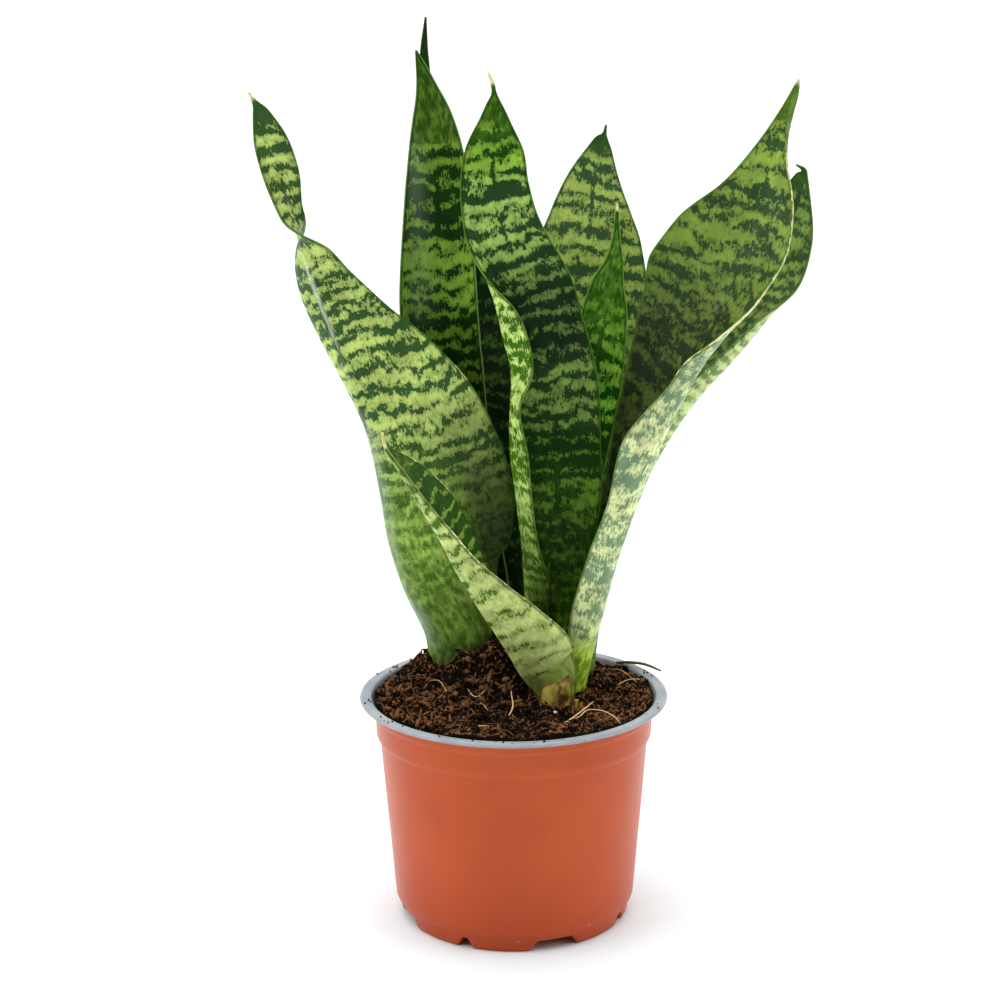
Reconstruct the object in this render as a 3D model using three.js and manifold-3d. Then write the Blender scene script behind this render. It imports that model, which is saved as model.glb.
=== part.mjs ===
// A potted snake plant: nine banded leaves that grow from one underground stem, in a 12 cm nursery pot
// of peaty soil. Millimetres, +Z up. The feet of the pot stand on z = 0, and the origin lies below the
// middle of the whole plant's bounding box. All sizes below are given from the pot's own axis.

import * as THREE from 'three';
import { mergeVertices } from 'three/addons/utils/BufferGeometryUtils.js';
import Module from 'manifold-3d';

const wasm = await Module();
wasm.setup();

// ---------------------------------------------------------------- driving dimensions

const CLEARANCE = 0.35; // between pieces that touch in the real plant

const RIM_RADIUS = 60;
const RIM_TOP = 89;
const RIM_THICKNESS = 1.8;
const RIM_INNER_RADIUS = 55.3;
const NECK_RADIUS = 55.2; // just under the rim
const BAND_TOP = { radius: 54.3, z: 82.8 };
const BAND_BOTTOM = { radius: 53.7, z: 73.6 };
const WALL_TOP = { radius: 52.3, z: 71 };
const WALL_BOTTOM = { radius: 47.1, z: 7 };
const WALL = 1.2;
const FOOT_RADIUS = 45;
const FOOT_WIDTH = 7;
const FOOT_HEIGHT = 4.4;
const WIDE_NOTCH = { degrees: 17, height: 4.4, at: 20 };
const NARROW_NOTCH = { degrees: 2, height: 2.6, at: 65 };
const NOTCH_FLARE = 10; // degrees that a notch is wider at the floor than at its top
const NOTCH_PAIRS = 4;
const DRAIN_HOLES = { count: 6, radius: 3.5, circle: 24 };
const POT_SEGMENTS = 40;

const SOIL_LEVEL = 86.6;
const SOIL_GRAIN = 0.7; // height of the lumps all over the soil
const SOIL_RINGS = 7;
const SOIL_MOUNDS = [
  { x: -5, y: 14, height: 19, radius: 9.5 }, // heaped against the left shoot
  { x: -34, y: 31, height: 8, radius: 5 },
  { x: -21, y: 17, height: 7, radius: 6 },
  { x: 20, y: -4, height: -2, radius: 9 },
  { x: -30, y: -18, height: 1.2, radius: 9 },
  { x: 12, y: -36, height: 1.2, radius: 10 },
];

const RHIZOME_RADIUS = 8;
const RHIZOME_Z = 61.5;
const RHIZOME_RUNS = [
  [-20, 26, 28, 28],
  [-4, 40, -3, 30],
  [12, 38, 14, 30],
  [14, 3, 14, 28],
  [25, 14, 22, 29],
];
const LEAF_FOOT = 66.5; // where every leaf starts, sunk a little into the rhizome

const MARGIN_THICKNESS = 0.9;
const FOOT_THICKNESS = 4;
const BLADE_THICKNESS = 2.2;
const TIP_THICKNESS = 1.2;

// A leaf is drawn by stations along the line its blade folds on. Facing its inner side, each station gives
//   x, y, z            a point of that line
//   left, right        how far the blade reaches to each side, measured on its surface
//   facing             where the inner side looks: 0 is -Y, 90 is +X, 180 is +Y
//   fold               how steeply both sides leave the line
//   leftCurl, rightCurl   how much further each side has turned inwards at its margin
// and `lateness` says how much of that turning waits until near the margin. A leaf with a hem has its left
// side turned over between two shares of its width instead, with a flat flap beyond.
const LEAVES = {
  leaf_left: {
    lateness: 2, rows: 28, columns: 8,
    stations: [
      [-21, 26, 66.5, 8, 8, 170, 10, 50, 60],
      [-28, 24.5, 88, 13, 9, 160, 15, 45, 70],
      [-32, 24, 105, 28, 12, 150, 25, 25, 70],
      [-42, 22, 124, 43, 14, 140, 35, 20, 70],
      [-48, 19.5, 144, 50, 15, 138, 40, 20, 70],
      [-51, 17, 165, 51, 16, 138, 42, 20, 70],
      [-55, 14.5, 188, 46, 16, 140, 38, 20, 70],
      [-61.5, 12, 210, 36.5, 15, 150, 28, 15, 60],
      [-68.5, 9.5, 230, 24, 14, 160, 25, 8, 50],
      [-74, 7.5, 246, 16, 12, 160, 25, 5, 30],
      [-77.5, 6, 259, 11, 10, 140, 20, 5, 20],
      [-79.8, 5.2, 268, 8, 8, 90, 10, 0, 20],
      [-82.5, 4.5, 276, 6, 6, 45, 5, 10, 10],
      [-85.5, 3, 289, 6.5, 7.5, 20, 5, 15, 15],
      [-88.5, 2, 301, 6.3, 6.8, 15, 5, 20, 20],
      [-91.3, 1, 311, 3.4, 3.6, 10, 5, 20, 20],
      [-96, 0, 320, 0.4, 0.4, 10, 0, 0, 0],
    ],
  },
  leaf_tall_left: {
    lateness: 1.5, rows: 18, columns: 6,
    stations: [
      [-3, 37, 66.5, 6, 6, 0, 5, 50, 50],
      [-4, 37, 90, 7, 7, 0, 5, 60, 60],
      [-9, 37.5, 115, 10, 10, 0, 5, 60, 60],
      [-17, 38, 150, 13, 13, 0, 5, 60, 60],
      [-23, 38, 190, 15.5, 15.5, 0, 5, 55, 55],
      [-28, 38.5, 230, 17.5, 17.5, 0, 5, 50, 50],
      [-28.5, 39, 265, 15.5, 15.5, 0, 5, 50, 50],
      [-28.5, 39.5, 290, 12.5, 12.5, 0, 5, 45, 45],
      [-29.5, 40, 308, 9, 8, 0, 5, 40, 40],
      [-32, 40, 321, 4.5, 3.5, 0, 5, 40, 40],
      [-36, 40, 333.3, 0.4, 0.4, 0, 0, 0, 0],
    ],
  },
  leaf_tall_back: {
    lateness: 1.5, rows: 18, columns: 6,
    stations: [
      [-4, 44.5, 66.5, 6, 6, 0, 5, 40, 40],
      [-4, 47, 90, 7, 7, 0, 5, 40, 40],
      [-5, 49.5, 130, 10, 12, 0, 5, 40, 40],
      [-8, 51.5, 180, 12, 13.5, 0, 5, 40, 40],
      [-12, 53, 225, 13, 13, 0, 5, 40, 40],
      [-18, 54.5, 260, 11, 11, 0, 5, 40, 40],
      [-26, 56, 290, 6.5, 6.5, 0, 5, 40, 40],
      [-32, 58, 312, 3.5, 3, 0, 5, 40, 40],
      [-33.6, 60, 330, 2, 1.8, 0, 5, 30, 30],
      [-33, 61, 345.7, 0.4, 0.4, 0, 0, 0, 0],
    ],
  },
  leaf_centre: {
    lateness: 2.5, hem: { start: 0.4, end: 0.7 }, rows: 26, columns: 20,
    stations: [
      [12, 22, 66.5, 6, 6, 0, 10, 30, 50],
      [13.5, 21, 90, 14, 8, 0, 8, 150, 60],
      [16.5, 19, 108, 21, 9, 0, 5, 188, 60],
      [17.5, 17.5, 125, 24.5, 11, 0, 0, 182, 60],
      [17.8, 16.5, 143, 25.5, 14, 0, 0, 135, 50],
      [17.5, 15.5, 163, 28.5, 17, 0, 0, 123, 45],
      [17, 15, 183, 32, 18, 0, 0, 123, 40],
      [16.5, 14.5, 203, 30, 17.5, 0, 0, 108, 35],
      [14.5, 14, 217, 27.5, 17, 0, 0, 140, 30],
      [11, 13.5, 230, 27, 17, 0, 0, 148, 30],
      [6.5, 13, 243, 24, 18, 0, 0, 132, 30],
      [0.5, 12.5, 256, 19, 17, 0, 0, 85, 30],
      [-3.6, 12, 270, 15.5, 14.5, 0, 5, 30, 25],
      [-6, 11.5, 284, 13.5, 13, 0, 5, 20, 20],
      [-6.5, 11, 297, 11, 11.5, 0, 5, 15, 15],
      [-6.2, 10.5, 308.5, 5.5, 6, 0, 5, 15, 15],
      [-6.1, 10.3, 313.5, 3.2, 3.4, 0, 5, 15, 15],
      [-6, 10.2, 317.8, 1.1, 1.1, 0, 5, 15, 15],
      [-6.6, 10.1, 321.5, 0.8, 0.8, 0, 5, 15, 15],
      [-8, 10, 325.5, 0.4, 0.4, 0, 0, 0, 0],
    ],
  },
  leaf_back_right: {
    lateness: 1.5, rows: 18, columns: 6,
    stations: [
      [13, 43, 66.5, 6, 6, 0, 5, 40, 40],
      [14, 45.5, 90, 7, 7, 0, 5, 40, 40],
      [17, 46.5, 115, 10, 10, 0, 5, 40, 40],
      [21.5, 47.5, 150, 14, 14, 0, 5, 35, 35],
      [27, 49.5, 190, 19, 20, 0, 5, 25, 25],
      [30.5, 52, 230, 24, 24, 0, 5, 20, 20],
      [31, 53, 255, 21.5, 21.5, 0, 5, 15, 15],
      [31.5, 54, 270, 16, 16.5, 0, 5, 10, 10],
      [33, 54.6, 283, 11, 10.5, 0, 5, 10, 10],
      [35.5, 55.3, 295, 5, 4.5, 0, 5, 5, 5],
      [36.6, 55.6, 299, 2.8, 1.8, 0, 5, 5, 5],
      [37, 55.7, 300.6, 1, 0.9, 0, 5, 5, 5],
      [37.6, 56, 304, 0.4, 0.4, 0, 0, 0, 0],
    ],
  },
  leaf_young: {
    lateness: 1.5, rows: 16, columns: 6,
    stations: [
      [19.5, 33, 66.5, 5, 5, 0, 5, 60, 60],
      [20.5, 33, 100, 6.5, 6.5, 0, 5, 60, 60],
      [23.5, 34, 130, 8, 8, 0, 5, 60, 60],
      [28, 35, 170, 9.5, 9.5, 0, 5, 50, 50],
      [33, 36, 205, 11, 11, 0, 5, 40, 40],
      [36, 36.5, 230, 10, 10, 0, 5, 40, 40],
      [37.5, 36.7, 243, 7.3, 7.3, 0, 5, 40, 40],
      [40, 37, 252, 4, 4, 0, 5, 30, 30],
      [41, 37.3, 262, 1.6, 1.6, 0, 5, 20, 20],
      [41.2, 37.5, 275, 0.4, 0.4, 0, 0, 0, 0],
    ],
  },
  leaf_right: {
    lateness: 1.5, rows: 28, columns: 8,
    stations: [
      [25, 14, 66.5, 6, 7, -80, 10, 60, 60],
      [28, 14, 88, 7, 12, -80, 10, 60, 100],
      [31.2, 13, 104, 8, 18.5, -80, 10, 60, 110],
      [35, 11.5, 120, 10, 22, -80, 10, 60, 115],
      [40, 10, 140, 13, 21, -80, 10, 65, 115],
      [46.5, 9, 160, 17, 20, -80, 10, 70, 115],
      [51.7, 8.3, 174, 21, 24, -80, 10, 75, 120],
      [56.5, 8, 187, 25, 26, -80, 10, 75, 115],
      [61, 7.5, 197, 28, 21, -80, 10, 75, 110],
      [65.5, 7.2, 207, 30, 17, -75, 10, 65, 100],
      [71.5, 7, 219, 33, 19, -70, 10, 60, 85],
      [77, 6.5, 231, 34, 18, -58, 8, 45, 60],
      [83, 6, 246, 36, 18, -45, 5, 30, 30],
      [88, 6, 262, 30, 20, -40, 5, 20, 15],
      [93.5, 5.5, 279, 17.5, 15, -35, 5, 15, 15],
      [98, 5, 296, 8.5, 5.5, -30, 5, 15, 15],
      [102, 5, 310, 3.5, 1.5, -30, 5, 15, 15],
      [105.7, 5, 322.5, 0.4, 0.4, -30, 0, 0, 0],
    ],
  },
  leaf_right_back: {
    lateness: 1.5, rows: 22, columns: 6,
    stations: [
      [31, 30, 66.5, 6, 6, -75, 10, 60, 60],
      [32, 31, 90, 7, 7, -80, 10, 60, 80],
      [36.5, 33, 120, 9, 8, -85, 10, 70, 100],
      [44.5, 35, 147, 11, 11, -85, 10, 70, 100],
      [54, 35, 168, 15, 15, -85, 10, 70, 100],
      [63.5, 35, 186, 19, 18, -80, 10, 60, 95],
      [74, 35, 202, 23, 20, -75, 10, 50, 90],
      [85.5, 35, 217, 25, 19, -65, 10, 40, 90],
      [95, 35, 231, 23, 18, -55, 10, 30, 80],
      [102, 35, 246, 20, 17.5, -45, 5, 20, 40],
      [107, 35, 261, 15, 13.5, -40, 5, 15, 20],
      [111, 35, 275, 9, 6, -30, 5, 15, 10],
      [113.8, 35, 288, 0.4, 0.4, -30, 0, 0, 0],
    ],
  },
  leaf_short_front: {
    lateness: 1.5, rows: 20, columns: 8,
    stations: [
      [14, 3, 66.5, 7, 7, 150, 10, 50, 50],
      [8.5, 1, 88, 18, 10, 140, 20, 60, 60],
      [4, -2.5, 96, 23, 12, 138, 30, 50, 60],
      [-1, -7, 106, 23, 14, 132, 38, 40, 40],
      [-6.5, -12, 117, 19, 16, 128, 45, 30, 30],
      [-13.5, -17.5, 130, 14, 17, 125, 50, 20, 20],
      [-20.5, -23, 144, 9, 17, 122, 55, 15, 10],
      [-26.5, -29, 158, 5.5, 16, 120, 60, 10, 5],
      [-32.5, -34.5, 170, 3.5, 13.5, 115, 65, 10, 0],
      [-39.5, -40.5, 184, 2, 8.5, 110, 65, 5, 0],
      [-43, -43, 191, 1.2, 4.5, 110, 60, 5, 0],
      [-45.5, -45, 196.6, 0.4, 0.4, 110, 30, 0, 0],
    ],
  },
};
// The papery scale leaf round the foot of the short front leaf.
const SHEATH = {
  lateness: 1, rows: 8, columns: 6, thickness: 0.8,
  stations: [
    [17.5, -12.6, 80, 9, 9, 180, 10, 60, 60],
    [17.3, -12.8, 86, 11, 10.5, 180, 10, 60, 60],
    [17.5, -12.8, 89.5, 10.5, 10, 180, 10, 60, 60],
    [18.8, -12.8, 92.5, 6, 7, 180, 10, 50, 50],
    [20.2, -12.6, 95.5, 2.8, 3.4, 180, 10, 40, 40],
    [21, -12.2, 99.5, 0.4, 0.4, 180, 10, 0, 0],
  ],
};

const STATION_VALUES = 9;
const TURN_STEPS = 24; // steps that the turning of one side is added up in

// ---------------------------------------------------------------- solids, cuts and joins

const radians = THREE.MathUtils.degToRad;

function toSolid(geometry) {
  const bare = geometry.index ? geometry.toNonIndexed() : geometry.clone();
  bare.deleteAttribute('normal');
  bare.deleteAttribute('uv');
  const merged = mergeVertices(bare, 1e-4);
  return new wasm.Manifold(
    new wasm.Mesh({
      numProp: 3,
      vertProperties: new Float32Array(merged.attributes.position.array),
      triVerts: new Uint32Array(merged.index.array),
    }),
  );
}

function toGeometry(solid) {
  const mesh = solid.getMesh();
  const geometry = new THREE.BufferGeometry();
  geometry.setAttribute('position', new THREE.BufferAttribute(new Float32Array(mesh.vertProperties), 3));
  geometry.setIndex(new THREE.BufferAttribute(new Uint32Array(mesh.triVerts), 1));
  return geometry;
}

// Closed rings of equal length, joined one to the next and capped at both ends. Cap faces run across the
// ring, from a point on one side to its partner on the other.
function loftGeometry(rings) {
  const count = rings[0].length;
  const index = [];
  for (let row = 0; row < rings.length - 1; row += 1) {
    for (let k = 0; k < count; k += 1) {
      const a = row * count + k;
      const b = row * count + ((k + 1) % count);
      // both faces of a blade are split along the same line across its thickness
      const partnered = k < count / 2;
      if (partnered) index.push(a, b, b + count, a, b + count, a + count);
      else index.push(a, b, a + count, b, b + count, a + count);
    }
  }
  const last = (rings.length - 1) * count;
  for (let k = 0; k < count / 2 - 1; k += 1) {
    const a = k;
    const b = k + 1;
    const c = count - 2 - k;
    const d = count - 1 - k;
    index.push(a, c, b, a, d, c);
    index.push(last + a, last + b, last + c, last + a, last + c, last + d);
  }
  const geometry = new THREE.BufferGeometry();
  const points = rings.flat().flatMap((p) => [p.x, p.y, p.z]);
  geometry.setAttribute('position', new THREE.BufferAttribute(new Float32Array(points), 3));
  geometry.setIndex(index);
  return geometry;
}

function latheGeometry(profile, segments) {
  const points = profile.map(([radius, z]) => new THREE.Vector2(radius, z));
  return new THREE.LatheGeometry(points, segments).rotateX(Math.PI / 2);
}

// ---------------------------------------------------------------- leaves

// A smooth curve through every station (Catmull-Rom), at s stations from the first.
function stationAt(stations, s) {
  const i = Math.min(Math.floor(s), stations.length - 2);
  const t = s - i;
  return Array.from({ length: STATION_VALUES }, (_, k) => {
    const b = stations[i][k];
    const c = stations[i + 1][k];
    const a = i > 0 ? stations[i - 1][k] : 2 * b - c;
    const d = i + 2 < stations.length ? stations[i + 2][k] : 2 * c - b;
    return 0.5 * (2 * b + (c - a) * t + (2 * a - 5 * b + 4 * c - d) * t * t + (3 * b - a - 3 * c + d) * t ** 3);
  });
}

// Stations spaced evenly along the fold line, with the share u of its length at each.
function evenStations(stations, rows) {
  const fine = 400;
  const samples = [];
  let length = 0;
  for (let i = 0; i <= fine; i += 1) {
    const s = (i / fine) * (stations.length - 1);
    const [x, y, z] = stationAt(stations, s);
    const point = new THREE.Vector3(x, y, z);
    if (i > 0) length += point.distanceTo(samples[i - 1].point);
    samples.push({ s, point, length });
  }
  return Array.from({ length: rows + 1 }, (_, row) => {
    const wanted = (row / rows) * length;
    let k = 1;
    while (k < fine && samples[k].length < wanted) k += 1;
    const before = samples[k - 1];
    const after = samples[k];
    const t = (wanted - before.length) / (after.length - before.length);
    return { u: row / rows, values: stationAt(stations, before.s + t * (after.s - before.s)) };
  });
}

// The share of a side's turning that is done at the share t of its width.
function turnDone(t, lateness, hem) {
  return hem ? THREE.MathUtils.smoothstep(t, hem.start, hem.end) : t ** lateness;
}

// How far one side of the blade has gone sideways and inwards at the share v of its width.
function turnedSide(width, fold, curl, lateness, hem, v) {
  let sideways = 0;
  let inwards = 0;
  for (let k = 0; k < TURN_STEPS; k += 1) {
    const t = ((k + 0.5) / TURN_STEPS) * v;
    const angle = fold + curl * turnDone(t, lateness, hem);
    sideways += (Math.cos(angle) * v * width) / TURN_STEPS;
    inwards += (Math.sin(angle) * v * width) / TURN_STEPS;
  }
  return { sideways, inwards };
}

function thicknessAt(u, v, { thickness }) {
  if (thickness) return thickness;
  const foot = FOOT_THICKNESS * Math.max(0, 1 - u / 0.25) ** 2;
  const blade = THREE.MathUtils.lerp(BLADE_THICKNESS, TIP_THICKNESS, u ** 2);
  const middle = Math.max(blade, foot);
  return MARGIN_THICKNESS + (middle - MARGIN_THICKNESS) * (1 - Math.abs(v) ** 2);
}

// The blade's middle surface as a grid of points, one row for each even station.
function bladeGrid({ stations, rows, columns, lateness, hem }) {
  const even = evenStations(stations, rows);
  const line = even.map(({ values: [x, y, z] }) => new THREE.Vector3(x, y, z));
  return even.map(({ u, values }, row) => {
    const [, , , left, right, facing, fold, leftCurl, rightCurl] = values;
    const before = line[Math.max(row - 1, 0)];
    const after = line[Math.min(row + 1, rows)];
    const along = new THREE.Vector3().subVectors(after, before).normalize();
    const inner = new THREE.Vector3(Math.sin(radians(facing)), -Math.cos(radians(facing)), 0);
    inner.addScaledVector(along, -inner.dot(along)).normalize();
    const across = new THREE.Vector3().crossVectors(along, inner);
    const points = Array.from({ length: columns + 1 }, (_, column) => {
      const v = (2 * column) / columns - 1;
      const width = Math.max(v < 0 ? left : right, 0.4);
      const curl = radians(v < 0 ? leftCurl : rightCurl);
      const leftHem = v < 0 ? hem : undefined;
      const turned = turnedSide(width, radians(fold), curl, lateness, leftHem, Math.abs(v));
      return line[row]
        .clone()
        .addScaledVector(across, Math.sign(v) * turned.sideways)
        .addScaledVector(inner, turned.inwards);
    });
    return { u, points };
  });
}

// The blade as a closed solid, `grow` thicker and wider all round.
function leafGeometry(leaf, grow = 0) {
  const grid = bladeGrid(leaf);
  const { rows, columns } = leaf;
  const rings = grid.map(({ u, points }, row) => {
    const inside = [];
    const outside = [];
    points.forEach((point, column) => {
      const down = grid[Math.max(row - 1, 0)].points[column];
      const up = grid[Math.min(row + 1, rows)].points[column];
      const left = points[Math.max(column - 1, 0)];
      const right = points[Math.min(column + 1, columns)];
      const along = new THREE.Vector3().subVectors(up, down);
      const across = new THREE.Vector3().subVectors(right, left).normalize();
      const normal = new THREE.Vector3().crossVectors(across, along).normalize();
      const v = (2 * column) / columns - 1;
      const half = thicknessAt(u, v, leaf) / 2 + grow;
      const edge = column === 0 ? -grow : column === columns ? grow : 0;
      inside.push(point.clone().addScaledVector(normal, -half).addScaledVector(across, edge));
      outside.push(point.clone().addScaledVector(normal, half).addScaledVector(across, edge));
    });
    return [...outside, ...inside.reverse()];
  });
  if (grow > 0) rings[0].forEach((point) => { point.z -= grow; });
  return loftGeometry(rings);
}

// ---------------------------------------------------------------- rhizome

function capsuleSolid([x0, y0, x1, y1], radius) {
  const start = new THREE.Vector3(x0, y0, RHIZOME_Z);
  const end = new THREE.Vector3(x1, y1, RHIZOME_Z);
  const run = new THREE.Vector3().subVectors(end, start);
  const capsule = new THREE.CapsuleGeometry(radius, run.length(), 2, 8);
  capsule.applyQuaternion(new THREE.Quaternion().setFromUnitVectors(new THREE.Vector3(0, 1, 0), run.normalize()));
  const middle = new THREE.Vector3().addVectors(start, end).multiplyScalar(0.5);
  return toSolid(capsule.translate(middle.x, middle.y, middle.z));
}

function rhizomeSolid(radius) {
  return RHIZOME_RUNS.map((run) => capsuleSolid(run, radius)).reduce((all, run) => all.add(run));
}

// ---------------------------------------------------------------- pot

function innerProfile(gap) {
  return [
    [WALL_BOTTOM.radius - WALL - gap, WALL_BOTTOM.z + 1.5],
    [WALL_TOP.radius - WALL - gap, WALL_TOP.z + 0.2],
    [BAND_BOTTOM.radius - WALL - gap, BAND_BOTTOM.z + 0.2],
    [BAND_TOP.radius - WALL - gap, BAND_TOP.z + 0.2],
  ];
}

function potProfile() {
  const floorUnder = FOOT_HEIGHT;
  const rimUnder = RIM_TOP - RIM_THICKNESS;
  return [
    [0, floorUnder],
    [FOOT_RADIUS - FOOT_WIDTH - 1, floorUnder],
    [FOOT_RADIUS - FOOT_WIDTH, 0],
    [FOOT_RADIUS, 0],
    [FOOT_RADIUS + 0.7, WALL_BOTTOM.z - 0.8],
    [WALL_BOTTOM.radius, WALL_BOTTOM.z],
    [WALL_TOP.radius, WALL_TOP.z],
    [BAND_BOTTOM.radius, BAND_BOTTOM.z],
    [BAND_TOP.radius, BAND_TOP.z],
    [NECK_RADIUS, BAND_TOP.z + 0.8],
    [NECK_RADIUS + 0.2, rimUnder - 0.5],
    [RIM_RADIUS - 1.4, rimUnder],
    [RIM_RADIUS - 0.3, rimUnder + 0.3],
    [RIM_RADIUS, rimUnder + RIM_THICKNESS / 2],
    [RIM_RADIUS - 0.6, RIM_TOP - 0.2],
    [RIM_RADIUS - 1.6, RIM_TOP],
    [RIM_INNER_RADIUS + 1.2, RIM_TOP - 0.1],
    [RIM_INNER_RADIUS, RIM_TOP - 0.7],
    ...innerProfile(0).reverse(),
    [WALL_BOTTOM.radius - WALL - 1, floorUnder + WALL + 0.6],
    [WALL_BOTTOM.radius - WALL - 2.5, floorUnder + WALL],
    [0, floorUnder + WALL],
  ];
}

// A wedge from inside the foot ring to outside it, narrower at its top.
function notchSolid({ degrees, height }, at) {
  const inside = FOOT_RADIUS - FOOT_WIDTH - 4;
  const outside = FOOT_RADIUS + 6;
  const corner = (radius, halfAngle, z) => {
    const angle = radians(at) + halfAngle;
    return new THREE.Vector3(radius * Math.sin(angle), -radius * Math.cos(angle), z);
  };
  const wide = radians(degrees + NOTCH_FLARE) / 2;
  const narrow = radians(degrees) / 2;
  const ring = (radius) => [
    corner(radius, -wide, -1),
    corner(radius, wide, -1),
    corner(radius, narrow, height),
    corner(radius, -narrow, height),
  ];
  return toSolid(loftGeometry([ring(inside), ring(outside)]));
}

function drainSolid(angle) {
  const { radius, circle } = DRAIN_HOLES;
  const drill = new THREE.CylinderGeometry(radius, radius, 4 * WALL, 12).rotateX(Math.PI / 2);
  return toSolid(drill.translate(circle * Math.cos(angle), circle * Math.sin(angle), FOOT_HEIGHT + WALL / 2));
}

function potGeometry() {
  let pot = toSolid(latheGeometry(potProfile(), POT_SEGMENTS));
  for (let i = 0; i < NOTCH_PAIRS; i += 1) {
    const turn = (i * 360) / NOTCH_PAIRS;
    pot = pot.subtract(notchSolid(WIDE_NOTCH, WIDE_NOTCH.at + turn));
    pot = pot.subtract(notchSolid(NARROW_NOTCH, NARROW_NOTCH.at + turn));
  }
  for (let i = 0; i < DRAIN_HOLES.count; i += 1) {
    pot = pot.subtract(drainSolid((i * 2 * Math.PI) / DRAIN_HOLES.count));
  }
  return toGeometry(pot);
}

// ---------------------------------------------------------------- soil

function soilHeight(x, y) {
  const lumps = Math.sin(0.31 * x + 1.3) * Math.cos(0.37 * y) + Math.sin(0.53 * y - 0.21 * x);
  const mounds = SOIL_MOUNDS.map(
    (m) => m.height * Math.exp(-((x - m.x) ** 2 + (y - m.y) ** 2) / (2 * m.radius ** 2)),
  );
  return SOIL_LEVEL + 0.5 * SOIL_GRAIN * lumps + mounds.reduce((sum, value) => sum + value, 0);
}

function soilSolid() {
  const top = RIM_INNER_RADIUS - WALL - CLEARANCE - 0.6;
  const floor = FOOT_HEIGHT + WALL + CLEARANCE;
  const side = [[WALL_BOTTOM.radius - WALL - 3, floor], ...innerProfile(CLEARANCE), [top, SOIL_LEVEL]];
  const rings = Array.from({ length: SOIL_RINGS }, (_, i) => [(top * (SOIL_RINGS - 1 - i)) / SOIL_RINGS, SOIL_LEVEL]);
  const geometry = latheGeometry([[0, floor], ...side, ...rings], POT_SEGMENTS);
  const position = geometry.attributes.position;
  for (let i = 0; i < position.count; i += 1) {
    if (position.getZ(i) > SOIL_LEVEL - 0.01) {
      position.setZ(i, soilHeight(position.getX(i), position.getY(i)));
    }
  }
  return toSolid(geometry);
}

// ---------------------------------------------------------------- the plant

const colours = {
  leaf: new THREE.MeshStandardMaterial({ color: 0x6f9a45, roughness: 0.38, metalness: 0 }),
  pot: new THREE.MeshStandardMaterial({ color: 0xbf5f3c, roughness: 0.45, metalness: 0 }),
  soil: new THREE.MeshStandardMaterial({ color: 0x3a2618, roughness: 0.95, metalness: 0 }),
  rhizome: new THREE.MeshStandardMaterial({ color: 0xc98b3f, roughness: 0.6, metalness: 0 }),
  sheath: new THREE.MeshStandardMaterial({ color: 0xa5764a, roughness: 0.7, metalness: 0 }),
};

const plant = new THREE.Group();

function addPiece(name, geometry, material) {
  const mesh = new THREE.Mesh(geometry, material);
  mesh.name = name;
  plant.add(mesh);
}

let soil = soilSolid().subtract(rhizomeSolid(RHIZOME_RADIUS + CLEARANCE));
let rhizome = rhizomeSolid(RHIZOME_RADIUS);
for (const [name, leaf] of Object.entries(LEAVES)) {
  const socket = toSolid(leafGeometry(leaf, CLEARANCE));
  soil = soil.subtract(socket);
  rhizome = rhizome.subtract(socket);
  addPiece(name, leafGeometry(leaf), colours.leaf);
}
soil = soil.subtract(toSolid(leafGeometry(SHEATH, CLEARANCE)));
addPiece('base_sheath', leafGeometry(SHEATH), colours.sheath);
addPiece('pot', potGeometry(), colours.pot);
addPiece('soil', toGeometry(soil), colours.soil);
addPiece('rhizome', toGeometry(rhizome), colours.rhizome);

// The origin goes below the middle of the whole plant.
const box = new THREE.Box3().setFromObject(plant);
const middle = box.getCenter(new THREE.Vector3());
plant.position.set(-middle.x, -middle.y, -box.min.z);

export default plant;
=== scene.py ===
# %% [markdown]
# # A potted snake plant
#
# Nine stiff, banded leaves rise from one underground stem in a small terracotta-coloured nursery pot.
# This lesson dresses a ready-made engineering model of the plant: every visible surface is worked out
# as a formula on a two-parameter grid, and every colour comes from shader nodes.

# %% Setting up
import math

import bpy
import numpy as np
from mathutils import Matrix, Vector


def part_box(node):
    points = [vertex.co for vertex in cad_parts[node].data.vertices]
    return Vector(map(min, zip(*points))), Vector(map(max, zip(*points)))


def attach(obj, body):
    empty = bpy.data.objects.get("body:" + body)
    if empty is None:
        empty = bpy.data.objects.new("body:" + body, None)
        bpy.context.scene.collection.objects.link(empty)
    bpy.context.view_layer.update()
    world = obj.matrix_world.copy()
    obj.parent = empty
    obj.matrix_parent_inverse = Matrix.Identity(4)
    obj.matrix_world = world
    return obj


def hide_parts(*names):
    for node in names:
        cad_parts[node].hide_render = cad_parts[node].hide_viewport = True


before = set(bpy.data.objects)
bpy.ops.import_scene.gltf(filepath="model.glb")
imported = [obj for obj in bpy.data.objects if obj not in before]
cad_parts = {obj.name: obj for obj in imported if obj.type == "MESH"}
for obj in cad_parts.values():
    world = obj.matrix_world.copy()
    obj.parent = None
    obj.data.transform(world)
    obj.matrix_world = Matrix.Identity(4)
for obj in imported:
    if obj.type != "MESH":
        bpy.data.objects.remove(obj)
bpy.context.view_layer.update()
MM = 0.001
pot_low, pot_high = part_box("pot")
POT_AXIS = np.array([(pot_low.x + pot_high.x) / 2, (pot_low.y + pot_high.y) / 2, 0.0])
print("the pot's axis stands at", np.round(POT_AXIS / MM, 1), "mm")

# %% [markdown]
# ## Smooth bumps
#
# Soil lumps, wavy leaf margins and creased paper all need unevenness that is smooth and the same on every
# run. A displacement texture could give it, but a lattice of pseudo-random heights, blended between its
# points, works on whole arrays and also tells where a crumb or a fibre has to lie.


# %% Lattice noise
def lattice_height(ix, iy, seed):
    """A height from 0 to 1 for each lattice point: the fraction left of a large sine of its indices."""
    wave = np.sin(ix * 127.1 + iy * 311.7 + seed * 74.7) * 43758.5453
    return wave - np.floor(wave)


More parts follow.
